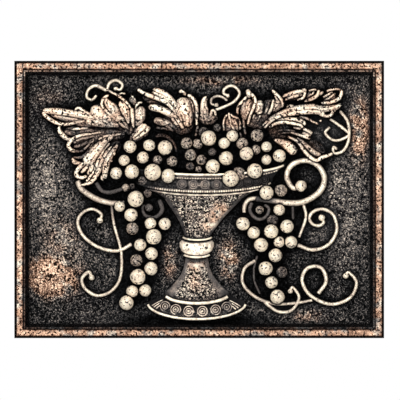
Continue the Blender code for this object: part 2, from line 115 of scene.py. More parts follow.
# Shares of a grape's radius: how far it is out of round and how many lumps it has, where its neck sets in
# below the middle, the height over which it narrows, and the neck's own radius
BERRY_WOBBLE = 0.07
BERRY_LUMPS = 1.3
NECK_FROM = 0.45
NECK_RUN = 0.25
BERRY_NECK = 0.8

# Places of the grapes: x, z and radius
BERRIES = {
    "front": [
        (-76, 58, 7.2), (-55, 59.5, 6.7), (-37.6, 57, 8.3), (-82.5, 43, 6.4), (-62, 46, 6.8),
        (-91.5, 29, 6.8), (-74, 30.5, 8.2), (-51, 30, 9.5), (-34, 26, 8),
        (-70, 0.5, 9.3), (-87.5, -7.5, 6.2), (-75, -17, 7.5), (-53.5, -26.5, 6.8), (-38, -27, 7),
        (-50, -41, 8.8), (-65, -50, 7), (-52.5, -59.5, 7.2), (-53, -76, 7.6), (-67.5, -85, 8.8),
        (-73.5, -101, 6.9), (-59.5, -100, 6.9), (-80, -113.5, 8.2),
        (10.3, 67.5, 8.7), (14.8, 36.3, 8), (27.5, 62, 6.5), (36.5, 70, 6.7), (29.5, 45.3, 7.9),
        (52, 50.8, 7.8), (74, 58, 6), (74, 43.8, 5.7), (88.3, 48, 7.3), (34.6, 23, 9.4), (61, 31.5, 8.5),
        (74, 7.5, 8), (88, -11.5, 6.5), (79, -35, 8.1), (48, -26.8, 7.7), (60, -36.5, 7),
        (96.6, -29.5, 7.6), (68, -50, 8), (88, -46.8, 6.4), (101, -46.7, 7), (83.8, -61.3, 7.7),
        (73, -75.8, 8), (79.5, -91, 7), (86, -106.8, 8.2),
    ],
    "set_back": [
        (-46, 43.5, 5.5), (-30, 42, 6), (-81, 13, 4.5), (-73.5, -32, 7.2), (-69, -67, 7),
        (-14, 62, 6.6), (-1.5, 61.5, 5.8), (-9.5, 49, 6.6), (2.5, 43.5, 5.8), (47.5, 61.5, 6.8),
        (62.5, 55, 5.6), (63.7, 70.5, 7.2), (-0.5, 33, 4), (90, 10, 7), (43.5, 28, 8),
        (66.5, -11.5, 4.7),
    ],
    "deep": [
        (-62, 21, 6), (-57, 7, 5), (5, 74, 6), (14.5, 52.5, 5), (-10, 36.5, 5),
        (81, -23, 6.5), (91, -80, 6.5), (20, 79, 4.5), (-74, 14.5, 3.5),
    ],
}

# The turned urn: radius, height, how brightly it is rubbed in front and at its sides, and how speckled it is
URN_PROFILE = [
    (0, 37, 0, 0, 0), (80, 37, 0, 0, 0), (86, 38, 0.1, 0.1, 0.3), (90, 41, 0.6, 0.6, 0.2),
    (91, 39.5, 0.5, 0.5, 0.2), (88, 38, 0.1, 0.1, 0.3), (86, 36.5, 0.14, 0.14, 0.3),
    (77, 25.5, 0.16, 0.16, 0.3), (76.5, 21.5, 0.1, 0.1, 0.2), (70, 20, 0.12, 0.12, 0.2),
    (68, 17, 0.5, 0.3, 0.7), (55, 10.5, 0.36, 0.28, 1), (45, 4, 0.36, 0.28, 1), (36, -7, 0.36, 0.26, 1),
    (27, -18, 0.36, 0.24, 1), (21, -27, 0.36, 0.24, 1), (16.2, -36, 0.34, 0.2, 0.8),
    (15, -40, 0.15, 0.1, 0.2), (14.8, -43.4, 0.1, 0.1, 0), (17, -44.8, 0.88, 0.75, 0.2),
    (19, -47.4, 0.9, 0.86, 0.26), (19.2, -51, 0.9, 0.86, 0.26), (17.6, -55, 0.86, 0.8, 0.26),
    (14.6, -58, 0.75, 0.6, 0.1), (13, -59.2, 0.1, 0.1, 0), (12.7, -63.4, 0.2, 0.3, 0.1),
    (13.2, -68, 0.45, 0.46, 0.5), (14.6, -75, 0.4, 0.46, 0.9), (17.5, -82, 0.4, 0.46, 1),
    (21.5, -88, 0.4, 0.47, 1), (29, -97, 0.38, 0.46, 1), (35, -101.4, 0.15, 0.26, 0.3),
    (36, -103.6, 0.1, 0.1, 0.1), (38, -106.4, 0.1, 0.1, 0.1), (49, -110.8, 0.2, 0.14, 0.4),
    (53, -112, 0.2, 0.14, 0.3), (54, -115, 0.6, 0.6, 0.1), (50, -116.5, 0.1, 0.1, 0), (0, -116.5, 0, 0, 0),
]
URN_RINGS = 170
URN_STEPS = 144

# Where the finish of the urn's front gives way to its sides', as sines of the turn, and how much speckle goes
URN_SIDE = (0.66, 0.86)
SIDE_CALM = 0.9

# Raised lines round the urn: radius, height, how far they go to each side in radians, half thickness, length
# of a twist (0 for a plain line), brightness
URN_LINES = [
    (91.5, 41.8, 1.3, 1.35, 0, 1.0), (87, 37.2, 1.2, 0.75, 2.8, 0.85), (77.6, 22.6, 1.25, 1.3, 2.6, 1.0),
    (69.6, 17.6, 1.25, 0.8, 0, 0.85), (16.6, -40.4, 1.3, 1.1, 0, 1.0), (14.8, -59.6, 1.3, 1.25, 0, 1.0),
    (36.5, -102.6, 1.2, 1.9, 0, 1.0), (54.3, -113.6, 1.45, 1.5, 0, 1.0),
]

# Distances between the points of a plain and of a twisted line, a twist's least thickness and brightness and
# what its swell adds
LINE_SPACING = 1.2
TWIST_SPACING = 0.45
TWIST_THICKNESS = (0.72, 0.28)
TWIST_SHINE = (0.45, 0.55)

# Lines of the rim, wider than this radius, grow dim to the left of these places, down to this share
RIM_LINES_FROM = 65.0
RIM_LINES_DIM = (-62.0, -36.0)
RIM_LINES_LEAST = 0.2

# Rows of circles on the urn: radius and height, first and last turn, how many, radius of a circle
URN_ROWS = [(81.5, 30.2, -0.30, 0.96, 9, 4.5), (45.5, -108.2, -0.87, 0.81, 6, 5.3)]

# Each row's brightness at its brightest turn, what it loses per radian from there, and its least
CIRCLE_SHINE = (0.7, 0.95)
CIRCLE_DIMMING = (0.7, 0.3)
CIRCLE_BRIGHTEST = -0.07
CIRCLE_LEAST = 0.3

# The rings of a circle: radius as a share, half thickness and brightness as a share. The dot: radii
CIRCLE_RINGS = [(1.0, 0.7, 0.85), (0.55, 0.65, 0.9)]
DOT_RADII = (1.2, 1.2, 1.0)
RING_SIDES = 6
RING_STEPS = 24

# Strokes beside the foot's circles: their turns, and the radii and heights that each runs through
FOOT_STROKES = (-1.24, -1.14, -1.04, 0.98, 1.08, 1.18)
STROKE_HALF = 0.7
STROKE_SHINE = 0.8
STROKE_RADII = (39.5, 46.0, 52.0)
STROKE_HEIGHTS = (-106.5, -108.6, -111.2)

# How the turned urn is pressed on the field: how far it rises, how far its back is buried, and how far its
# rings sag towards the viewer and its middle leans
URN_RISE = 12.0
URN_RISE_POWER = 0.4
URN_BURIED = 3.0
RIM_RADIUS = 91.5
RIM_HEIGHT = 41.0
RIM_SAG = 0.16
FOOT_HEIGHT = -113.0
FOOT_SAG = 0.33
FOOT_X = -2.7
BOWL_X = 5.0
LEAN_FROM = -45.0
LEAN_TO = 5.0

# Leaf ridges: distance between points, points across, how much wider than listed, how far the back rounds
# off, the most of that as a share of the half width, the sides' ripple, the roughness, and the least height
RIDGE_SPACING = 1.1
RIDGE_POINTS = 17
RIDGE_WIDER = 1.25
RIDGE_BACK = 3.2
RIDGE_ROUNDEST = 0.9
RIDGE_RIPPLE = 0.10
ROUGH_CAST = 0.5
RIDGE_LEAST = 0.4

# Height at a ridge's ends and what its middle adds, as shares, and how the ends round off and drop
RIDGE_ENDS = 0.82
RIDGE_ARCH = 0.18
HUB_BLUNT = 0.5
TIP_LEAST = 0.04
TIP_DROP = 0.35

# Brightness of a ridge, its share at the hub and where that ends, and the losses down the sides, at the edge
# and in a crease. The first two leave a painted highlight on the crest and painted shade at the sides, along
# with the rubbing
RIDGE_SHINE = 1.06
HUB_SHINE = 0.72
HUB_FADE = (0.1, 0.7)
SIDE_LOSS = 0.25
EDGE_LOSS = 0.6
CREASE_LOSS = 0.4
RIDGE_SPECKLE = 0.42

# Creases along a broad ridge: place and width as shares of its half width, depth, and the half widths and the
# values of the noise between which they set in
CREASE_AT = 0.38
CREASE_WIDTH = 0.09
CREASE_DEPTH = 0.35
CREASE_HALF_WIDTHS = (2.2, 3.6)
CREASE_PATCHES = (0.3, 0.6)

# Strands: distance between points, how much wider than listed, how much deeper than wide, how uneven, the
# thickness of the ends as a share, and the shares of the length over which the brightness changes
STRAND_SPACING = 0.9
STRAND_WIDER = 1.16
STRAND_DEEPER = 1.5
STRAND_UNEVEN = 0.14
STRAND_END = 0.6
STRAND_FADE = (0.04, 0.2)
STRAND_SPECKLE = 0.14

# Each strand: half thickness at start and end, ball radius, brightness or its first and last value, and the
# places it runs through
STRANDS = [
    (3.1, 2.6, 6.6, (0.35, 1.0), [(62, 1), (80, -1), (97, -3.7), (115, -2.5), (132, 8), (138, 22),
                                  (132, 36), (118, 43), (102, 38), (96.5, 25), (103, 13), (112, 15)]),
    (2.5, 1.9, 0, 0.95, [(74, 0.5), (63, 1.5), (54.5, -0.5), (50, -7), (49.5, -15)]),
    (2.0, 1.7, 0, 0.45, [(58, -3), (55.8, -11), (59.5, -18.5), (67, -22), (74.5, -18), (76.8, -10),
                         (72, -5.5)]),
    (3.0, 2.6, 0, 0.9, [(-134, 21), (-129, 11), (-113, 0.5), (-96, -4), (-82, -4)]),
    (2.0, 2.0, 0, 0.4, [(-114, 19), (-107, 9.5), (-97, 8), (-84, 12)]),
    (2.2, 1.8, 4.6, 0.4, [(-44, 0), (-41, -12), (-49, -20), (-60, -17), (-62, -7), (-55.5, -9)]),
    (1.8, 1.4, 0, 1.0, [(-102, 120), (-114, 125.5), (-122, 121), (-124, 113), (-118, 110), (-113, 115)]),
    (1.8, 1.4, 2.6, 1.0, [(-102, 119), (-99, 128), (-92, 131.5), (-85, 127), (-87, 121), (-92, 122)]),
    (1.9, 1.5, 3.6, 1.0, [(-74, -49), (-90, -56.5), (-110, -53), (-127, -41), (-134, -26), (-129, -15),
                          (-118, -10.5), (-108, -16), (-109.5, -23)]),
    (1.4, 1.8, 3.3, (0.6, 1.0), [(-97, -3), (-94, -27), (-86, -58), (-87, -86), (-97, -101),
                                 (-112, -106), (-125, -99), (-129.5, -88), (-122, -80), (-118.5, -86)]),
    (1.5, 1.3, 0, 0.4, [(103, -6), (103.5, -22)]),
    (1.7, 1.4, 0, 1.0, [(115, -5), (117.5, -20), (110, -42)]),
    (1.9, 1.6, 3.8, 1.0, [(108, -50), (125, -55.5), (142, -50), (151.5, -35), (149, -19), (141, -12),
                          (132.5, -10.8), (124.5, -14.5), (121.5, -21), (125, -27), (131.5, -29),
                          (137, -25.5), (135, -20)]),
    (1.8, 1.5, 0, 0.9, [(62, -67), (50, -76), (48, -92), (60, -106), (80, -114.5), (104, -114.5),
                        (125, -111)]),
    (1.2, 1.0, 0, 0.4, [(64, -62), (60.5, -76), (61, -90), (67, -104)]),
    (1.8, 1.5, 3.0, 1.0, [(72, -113), (87, -123.5), (102, -122), (110, -108), (103, -97), (100.5, -101)]),
    (2.0, 1.7, 3.4, 1.0, [(131, -104), (140, -90), (134, -75), (119, -76), (113.5, -90), (123, -106),
                          (145, -115.5), (166, -108.5), (173.5, -92), (165, -80.5), (161.5, -84)]),
    (1.6, 1.5, 2.3, 1.0, [(16, 98), (27, 102), (38, 107.5), (44.5, 116), (41, 123), (34.5, 125.5),
                          (28, 122), (27, 117), (31.5, 114.5)]),
    (1.3, 1.2, 2.4, 0.9, [(31, 109), (25.5, 112.8), (19, 114), (13.5, 110.5), (13.5, 105.5), (19, 104)]),
    (1.7, 1.5, 0, 1.0, [(155, 98), (164, 85), (165, 67), (159, 54), (149, 51), (148, 58), (152, 55)]),
    (1.6, 1.4, 0, 1.0, [(144, 89), (158, 79), (165, 71), (150, 65), (139, 73), (144, 80)]),
]

# Ridges of the leaves: height above the field, how brightly they are rubbed, and the middle line from the hub
# to the tip as x, z and full width
LEAVES = [
    # Left leaf, its upper half
    (6.5, 0.3, [(-86, 82, 10), (-105, 86, 16), (-125, 89, 14), (-150, 90, 12), (-166, 94, 6)]),
    (11, 1, [(-92, 87, 8), (-112, 90, 10), (-128, 92.5, 7), (-141, 95, 6.5), (-157, 97, 6.5),
             (-172, 98, 4.5)]),
    (8.8, 0.72, [(-118, 86, 5), (-136, 88, 7), (-148, 90, 6.5), (-163, 93.5, 3)]),
    (10.5, 1, [(-126, 86.5, 2), (-135, 84.8, 2.6), (-145, 82.8, 3), (-155, 83.6, 3.6), (-163, 87.5, 3.6),
               (-169, 92, 3.6), (-172.5, 96.5, 2.6)]),
    (12.5, 0.88, [(-92, 86, 12), (-103, 91, 14), (-112, 96.5, 14), (-118.5, 102, 8.5)]),
    (11, 0.82, [(-88, 82, 6), (-100, 84, 8), (-113, 85.5, 9), (-126, 87, 6)]),
    (11, 1, [(-117, 91.5, 2.5), (-124, 95.5, 3), (-129, 98.8, 3), (-133, 101, 2.6), (-137, 98.5, 1.6)]),
    (10.5, 0.95, [(-121, 90, 2.2), (-127, 94, 2.8), (-133.5, 97.3, 2)]),
    (8.5, 0.45, [(-116, 82.5, 4), (-128, 83, 6), (-139, 86.5, 4)]),
    (12.8, 1, [(-89, 86, 2.4), (-96, 91.5, 2.8), (-101.5, 96.8, 2.8), (-105.7, 101.5, 2.6),
               (-107.3, 105.5, 2.6), (-106, 109.5, 2.8), (-103.5, 112.5, 3), (-99.5, 115, 2)]),
    (12.5, 1, [(-87, 87, 5), (-91.5, 94, 9), (-96.5, 101, 10), (-102, 108, 5.5), (-103.5, 112, 3)]),
    (12.5, 1, [(-77.5, 84, 2.5), (-79.5, 92, 6), (-82, 99, 8.5), (-85.5, 106, 6.5), (-87, 108.5, 4)]),
    (11.5, 1, [(-72.5, 79, 2), (-73, 86, 3.4), (-73.8, 94, 4), (-74, 101, 3.2)]),
    (11, 0.8, [(-68, 80, 4), (-66, 88, 9), (-65, 96, 10.5), (-65, 103, 8)]),
    (12, 1, [(-70, 99.5, 1.6), (-68.8, 103.5, 2.4), (-66, 106.3, 2.4), (-62.5, 106.8, 2)]),
    (9, 0.5, [(-76, 64, 5), (-70, 69, 9), (-62, 77, 13), (-58, 81, 11)]),
    (10.8, 1, [(-73, 68, 2), (-67.5, 73, 3.4), (-62.5, 78, 4.5), (-58, 83, 5)]),
    (10.5, 0.95, [(-71, 66, 2), (-65, 70, 3), (-58.5, 75.5, 4), (-55, 80.5, 4.5)]),
    (10, 0.8, [(-74, 70.5, 2), (-69, 75, 3), (-65, 80, 3.4), (-61.5, 84, 3)]),
    (11.5, 0.9, [(-89, 90.5, 2.4), (-85, 89, 3.2), (-82, 86.5, 2.4)]),
    (10, 0.7, [(-90, 86, 2.6), (-86, 83, 2.8), (-81, 78.5, 2.4)]),
    (9.5, 0.6, [(-84, 86, 3), (-80, 81, 3), (-78, 77, 2)]),
    (12, 1, [(-101, 120.5, 2), (-90, 114.5, 2.2), (-83, 109.5, 2.2), (-78, 104.5, 2), (-75, 100, 1.6)]),
    (9, 0.9, [(-89, 115.5, 1.6), (-85, 116.8, 2), (-81, 116.5, 1.6)]),
    (9, 0.55, [(-71, 104, 2), (-73, 109, 5.5), (-76, 113, 5)]),
    (9.8, 0.9, [(-69.5, 106, 1.4), (-71.5, 111.5, 1.6), (-76, 115.2, 1.6)]),
    (6, 0.5, [(-66, 72, 10), (-76, 82, 18), (-88, 94, 24), (-96, 104, 14)]),
    # Left leaf, its lower half
    (7.2, 0.42, [(-82, 72, 7), (-95, 71.5, 10), (-112, 70, 12), (-125, 74, 9), (-140, 74, 12),
                 (-149, 75.5, 8)]),
    (9.8, 1, [(-138.5, 66.5, 2), (-145, 66.8, 4), (-151, 71.5, 5), (-154.3, 77, 3.6), (-153.5, 81.5, 2)]),
    (8.6, 0.85, [(-122, 78.6, 1.8), (-131, 78.2, 2.6), (-140, 77, 2)]),
    (8.2, 0.5, [(-133, 73, 3), (-141, 73, 4.5), (-149, 75, 4)]),
    (6.2, 0.28, [(-108, 69, 8), (-122, 65, 14), (-134, 61, 14), (-139, 60, 9)]),
    (9.6, 0.95, [(-108, 74, 2), (-120, 72, 2.2), (-129, 70.8, 2.8), (-136, 68.6, 3.2),
                 (-141.5, 64.5, 3.6), (-144, 59.5, 3.8), (-141.5, 55, 3.6), (-136, 52.8, 3)]),
    (9, 0.55, [(-137, 53, 2.6), (-129, 54, 2.4), (-123.5, 58, 2), (-119, 63, 1.8), (-111, 67.5, 1.8)]),
    (8.2, 0.6, [(-112, 71.5, 2), (-124, 68, 2.6), (-132, 66.2, 3), (-139, 62.5, 3.4)]),
    (8, 0.5, [(-110, 69.5, 2), (-120, 64.5, 2.4), (-130, 60, 2.6), (-138, 58, 3)]),
    (9.2, 1, [(-129.5, 40, 2), (-133, 40, 3.4), (-137.5, 41.5, 4), (-140, 45.8, 1.8)]),
    (8.2, 0.42, [(-112, 66, 2), (-117, 61, 2.6), (-121, 54, 3.2), (-125.5, 48.8, 3.2), (-132, 46.2, 2.6),
                 (-139, 46.6, 1.4)]),
    (7, 0.3, [(-118, 54, 3), (-124, 45, 5), (-130, 43, 4)]),
    (12, 1, [(-95, 69, 2.5), (-103, 64.5, 6), (-111, 56.8, 9.5), (-117, 49.5, 10.5), (-122, 43, 11),
             (-125.5, 38, 9)]),
    (11.2, 1, [(-121, 44, 4), (-128, 38.8, 4.4), (-133.2, 33.5, 4), (-135.4, 28.5, 4), (-133, 24.8, 3.8),
               (-128, 24.2, 3.2), (-123.5, 26, 2.6)]),
    (11.6, 1, [(-117.5, 46, 5), (-117.4, 39.5, 4.6), (-119.4, 33, 4), (-122.8, 27.5, 3)]),
    (9.6, 0.95, [(-120.5, 40, 2.6), (-124, 35, 3.8), (-128, 31.5, 3.6), (-130.5, 29.3, 2.4)]),
    (10, 0.95, [(-99, 62, 2.4), (-105, 55.3, 3.2), (-109, 46.5, 3.6), (-112.8, 38, 3.4),
                (-117.3, 29.5, 2.8), (-122, 22.3, 2.6), (-124.5, 19.6, 1.4)]),
    (10.6, 0.92, [(-96, 58, 2), (-101.5, 52.5, 3.2), (-105.8, 45, 4), (-108.8, 37, 5.4),
                  (-111.8, 29.5, 4.8), (-116, 22.5, 4), (-121, 18, 3.4), (-131.5, 15.3, 1.6)]),
    (11, 0.9, [(-90, 60, 2.4), (-95, 53, 5), (-99.8, 45, 6.8), (-102.6, 37, 6.8), (-103.6, 29, 5.4),
               (-104, 22.5, 3.6)]),
    (9.4, 0.85, [(-106.6, 27, 2), (-107.3, 23, 2.4), (-105.5, 20.8, 1.6)]),
    (12.4, 1, [(-92.8, 52.5, 2.6), (-94.6, 48, 2.6)]),
    (12.2, 1, [(-96.5, 44, 2.6), (-97.2, 41, 2.6)]),
    (9.6, 0.75, [(-86, 72.5, 2), (-97, 70.3, 3), (-106, 68.6, 3), (-111, 65.5, 2)]),
    (5.3, 0.36, [(-88, 64, 12), (-104, 52, 20), (-116, 38, 18), (-120, 28, 10)]),
    # Middle leaf
    (7.5, 0.4, [(-12, 74, 8), (-20, 82, 14), (-28, 90, 16), (-36, 98, 14)]),
    (11, 1, [(-17, 82, 3), (-22, 90, 4), (-28, 99, 4.4), (-36, 107, 4.4), (-46, 111.2, 4.4),
             (-56, 114.8, 4), (-62, 117.6, 3.4), (-68, 121.6, 3)]),
    (11.5, 0.95, [(-27, 99, 1.6), (-32, 104, 1.8), (-37, 109, 1.8), (-43, 112.8, 1.8), (-49, 115, 1.4)]),
    (12.6, 1, [(-19, 86, 4), (-23.5, 97.5, 5), (-29, 107.5, 5.5), (-36, 114.5, 5.5), (-44, 119, 5.5),
               (-51, 120.8, 4)]),
    (12, 0.95, [(-27, 101, 2), (-33, 108.5, 2.6), (-40, 113.2, 2.8), (-46, 116, 2.8), (-52, 118, 3)]),
    (13, 1, [(-13, 80, 7), (-13, 90, 10.5), (-16.5, 100, 13), (-20, 108.5, 14.5), (-21.5, 112, 12)]),
    (11, 0.95, [(-3, 82, 2), (-2.6, 92, 3), (-2.5, 100, 3.2), (-4.3, 107, 3.4), (-8, 112.5, 3.4),
                (-13, 115.3, 2.6)]),
    (9.5, 0.6, [(-6, 88, 4), (-6.5, 98, 5), (-8.5, 106, 5), (-13, 112, 4)]),
    (11, 1, [(-14.5, 115, 2.6), (-17.5, 118, 3), (-20, 119.4, 3), (-22, 117, 2.4)]),
    (11, 1, [(-22, 88, 5), (-32, 94.5, 7), (-42, 99, 7), (-50, 101.2, 6.5), (-56, 102, 5)]),
    (8.8, 0.7, [(-26, 81, 4), (-35, 84, 6), (-43, 86, 6.8), (-50, 87.5, 6)]),
    (9.6, 0.85, [(-37, 85.5, 2), (-43, 87, 2.4), (-47, 87.6, 2)]),
    (7.5, 0.5, [(-28, 75, 1.8), (-33, 79, 2), (-38, 82, 2)]),
    (7.5, 0.5, [(-30, 76.5, 1.6), (-39, 78, 2), (-47.5, 79.2, 1.6)]),
    (6.5, 0.32, [(-32, 100, 5), (-45, 105.5, 5), (-55, 109, 5), (-62, 114, 3)]),
    (11.5, 0.9, [(-27, 94, 2), (-24, 88, 3.4), (-20, 82, 3.4), (-17.5, 78, 2.4)]),
    (11, 0.9, [(-30, 90, 2.4), (-27, 85, 3.2), (-22, 80, 2.8)]),
    (10.8, 0.85, [(-35, 95, 2.4), (-29, 91, 2.6)]),
    (7.5, 0.26, [(-48, 70, 3), (-40, 70.8, 3.4), (-33, 67, 3), (-27, 60, 2.4), (-25, 52, 2)]),
    (7.5, 0.45, [(-4, 70, 1.8), (-2.6, 76, 2), (-1.5, 82, 1.6)]),
    (6.5, 0.52, [(-14, 72, 14), (-18, 84, 22), (-20, 98, 26), (-22, 108, 18)]),
    # Small leaves that rise from the grapes
    (8.6, 0.62, [(9.5, 82, 12), (9.5, 90, 18), (9, 96, 14)]),
    (9.6, 0.85, [(7, 88, 8), (6, 98, 7), (5.6, 106, 5), (8, 112, 2.4)]),
    (9.3, 0.62, [(37, 72, 10), (36.5, 80, 14), (35, 87, 12), (33, 94, 4)]),
    (6.8, 0.54, [(57, 80, 10), (57, 94, 17), (57, 104, 16), (55, 114, 6)]),
    (6, 0.38, [(60, 78, 10), (69, 90, 16), (78, 101, 16), (84, 110, 9)]),
    (10.5, 1, [(2.5, 92, 3), (3.5, 100, 4), (4, 105, 4.4), (5, 110, 3.6), (8, 113.7, 2)]),
    (9.6, 1, [(4.5, 104, 2), (7.5, 101.5, 2.2), (9.6, 98, 2)]),
    (10, 0.95, [(12.5, 91, 2.4), (13, 95, 3), (15, 98, 3), (17.3, 96.5, 2.6), (18.2, 92, 2)]),
    (10.6, 0.95, [(38.5, 76, 1.8), (35.5, 82, 2), (33.6, 88, 2), (32.6, 96, 1.8)]),
    (10.2, 0.85, [(27.5, 76, 1.4), (26.6, 83, 1.8), (28, 89, 1.8), (31, 94, 1.4)]),
    (10.2, 0.8, [(45, 77, 1.6), (44.8, 84, 2), (42, 89.5, 2), (37, 91.5, 1.8), (34, 95, 1.4)]),
    (10, 0.7, [(42, 76, 2), (41, 82, 2.6), (38.5, 87, 2.4)]),
    (8.5, 0.5, [(51, 72, 2), (49.5, 80, 2.4), (48.5, 90, 2)]),
    (8, 0.45, [(46.5, 68, 1.8), (45, 74, 1.6)]),
    (10.5, 0.72, [(50, 88, 5), (51, 97, 10), (54.5, 106, 12.5), (56, 111, 9)]),
    (11.5, 1, [(56, 112, 5), (54.5, 117, 5), (52.5, 121.5, 3)]),
    (11, 0.95, [(42.3, 93, 1.8), (42, 99, 2.4), (44.5, 104.5, 2.6), (48.5, 108.8, 2.8), (52, 113.5, 3)]),
    (11.6, 1, [(53.5, 83, 2), (55, 89, 2.6), (57.5, 96, 2.8), (60.3, 102.5, 2.8), (61.8, 108, 3),
               (60, 113, 3), (56.5, 117, 2.6)]),
    (11, 0.95, [(49, 91.5, 2.6), (52.5, 94, 2.4), (54.5, 98, 2.4), (56, 103, 2)]),
    (10.8, 0.92, [(62, 96, 4), (65.5, 100, 7), (66.3, 105.5, 7.5), (66, 109.5, 5.5)]),
    (10.5, 1, [(63.5, 94.5, 2), (67, 95.5, 2.4), (69.8, 97.5, 2)]),
    (8.5, 0.55, [(60, 84, 5), (63, 89, 6), (67, 92.5, 5)]),
    (9.2, 0.85, [(59, 88, 1.8), (60.5, 92, 2), (62, 94, 1.8)]),
    (9, 0.8, [(65, 88, 1.8), (66, 91, 2), (68.5, 93, 1.8)]),
    (10, 0.68, [(80, 97, 5), (85, 103, 9), (87, 108, 9), (86, 112, 6)]),
    (11, 1, [(91.3, 101.5, 2), (91.8, 106, 2.6), (90, 110.5, 2.8), (86.5, 114.3, 3), (82.5, 118, 3),
             (80.3, 120.8, 1.8)]),
    (11, 1, [(76, 94, 2.4), (78.5, 98, 2.8), (80.5, 103.5, 2.6), (81.8, 110.5, 2)]),
    (7.5, 0.4, [(73, 96, 4), (75.5, 103, 6), (78, 110, 5)]),
    (8.6, 0.8, [(72.5, 95, 1.8), (74.5, 99, 2.2), (75.5, 102, 1.8)]),
    (10.6, 0.85, [(86, 107, 2), (85, 111, 2), (83.5, 115, 2)]),
    # Right leaf
    (5.5, 0.26, [(76, 74, 16), (90, 78, 24), (104, 76, 20)]),
    (4.8, 0.22, [(103, 67, 10), (117, 60, 15), (130, 55, 13), (139, 51, 6)]),
    (12.6, 0.88, [(70, 81, 2), (78, 88.5, 3), (88, 94, 4), (100, 98, 6), (112, 100.2, 7),
                  (124, 100.8, 7.5), (136, 99.5, 6), (147, 101, 5), (156, 104.5, 3)]),
    (13, 1, [(72, 79, 2), (80, 87, 3), (88, 91.5, 3.4), (100, 94.3, 4.4), (112, 96, 5), (124, 97, 5.5),
             (133, 96, 5), (138, 93, 3.6)]),
    (11.6, 1, [(131, 95.5, 3), (136, 92.5, 3), (141, 91.6, 3), (145, 93, 3), (147.3, 97, 2.6),
               (150.5, 99, 2.4)]),
    (12.4, 1, [(145, 100, 4), (151, 101.5, 4.5), (157, 105.3, 2)]),
    (11, 0.95, [(96, 101, 2), (100.5, 103, 2.8), (105, 102, 2)]),
    (8.5, 0.5, [(96, 111, 5), (106, 115, 9), (114, 117, 8)]),
    (12, 0.9, [(92, 113.5, 2.4), (100, 116.2, 4), (109, 118.6, 4.4), (118.5, 120.8, 3.4)]),
    (11.4, 0.85, [(94.5, 109.5, 2.2), (101, 112.5, 3), (108, 114.5, 3.4), (114, 116.5, 3)]),
    (11.6, 1, [(108, 109.5, 2), (113, 111, 2.4), (116, 115, 2.6), (116.5, 119, 2.4)]),
    (8.5, 0.42, [(118, 112, 5), (124, 115, 8), (127, 117.5, 7)]),
    (11.6, 1, [(116, 108, 2), (123, 110.3, 3.2), (128.5, 113.5, 3.2), (131, 117, 3), (131.3, 121, 2.4)]),
    (10.8, 0.85, [(120.5, 119.5, 2), (126, 121, 1.8), (130, 120.5, 2)]),
    (9.8, 0.8, [(120, 113.5, 2), (124.5, 116.5, 2), (126.5, 119.5, 1.8)]),
    (10.8, 1, [(132.5, 115, 2.4), (136.5, 119, 2.2)]),
    (9.2, 0.6, [(138, 107, 6), (146, 112.5, 12), (151, 116, 11)]),
    (12, 1, [(134.5, 106.5, 2.6), (142, 106.3, 3.2), (149, 108.3, 3.4), (154.3, 111.8, 3.6),
             (156.5, 116.5, 3.4), (156, 121, 2.6)]),
    (10.8, 0.9, [(139.5, 118.5, 1.8), (144, 120.5, 2.2), (150, 121.5, 2), (156, 121, 2)]),
    (10.8, 0.9, [(136.5, 112.5, 1.8), (142, 115.5, 2.2), (147, 118.5, 2)]),
    (10.6, 0.8, [(139, 109.5, 1.8), (145, 113, 2.2), (150, 117, 2.2)]),
    (8.5, 0.5, [(80, 82, 5), (92, 86, 7), (104, 85.5, 7), (112, 83, 6)]),
    (11, 0.95, [(84, 87.8, 2), (92, 88.8, 3), (102, 88.4, 3.6), (110, 87.3, 4), (115, 84.5, 3.8),
                (116.3, 81.5, 2.4)]),
    (11.2, 1, [(77.5, 79.5, 2.4), (82.5, 82.8, 3), (90, 84.8, 3.6), (98, 84.7, 3.6), (106, 83, 3),
               (112, 81.5, 3), (113.5, 78.5, 2.2)]),
    (9, 0.7, [(104, 79.3, 1.4), (109, 78, 2), (113, 78.5, 1.6)]),
    (7.2, 0.35, [(84, 75.5, 1.6), (95, 76.5, 1.8), (106, 75, 1.6)]),
    (7.2, 0.3, [(86, 72, 1.6), (97, 73.6, 1.8), (104, 73, 1.6)]),
    (9, 0.75, [(110, 91.5, 1.8), (117, 89.7, 2.2), (124, 86.2, 2.2), (131, 83, 1.8)]),
    (9.5, 0.95, [(134.3, 88, 2), (132.8, 85, 2.4)]),
    (9, 0.75, [(113, 73, 4), (120, 71, 8), (123.5, 70.5, 7)]),
    (9.6, 0.9, [(101, 74, 1.6), (107, 72, 2.4), (115, 69.5, 3), (122.5, 67.6, 3.6)]),
    (9.8, 0.95, [(114, 78, 2.4), (119.5, 75.6, 3), (125, 72, 3.6)]),
    (8, 0.32, [(106, 66, 4), (115, 58.5, 9), (124, 50.5, 9), (130, 47, 6)]),
    (9.6, 0.72, [(108, 68, 1.8), (114, 63, 3.4), (121, 56.5, 4.4), (128, 51, 4.6), (134, 48.5, 4)]),
    (11, 1, [(97, 69.3, 2), (103, 66.7, 2.4), (108.5, 63.5, 2.8), (113.5, 56.5, 3.2), (118.5, 50, 3.4),
             (124.5, 45, 3.4), (129.5, 43, 3.4), (134.5, 46, 3.4), (140, 47.9, 3.2), (147, 50.6, 2.4)]),
    (12, 0.95, [(83, 65.5, 3), (90, 63.3, 6), (96.5, 60, 8), (101.5, 55.5, 8.8), (106, 50.2, 8.4)]),
    (9.5, 0.8, [(90.5, 58.6, 1.6), (96, 56, 2), (99.5, 51, 2)]),
]
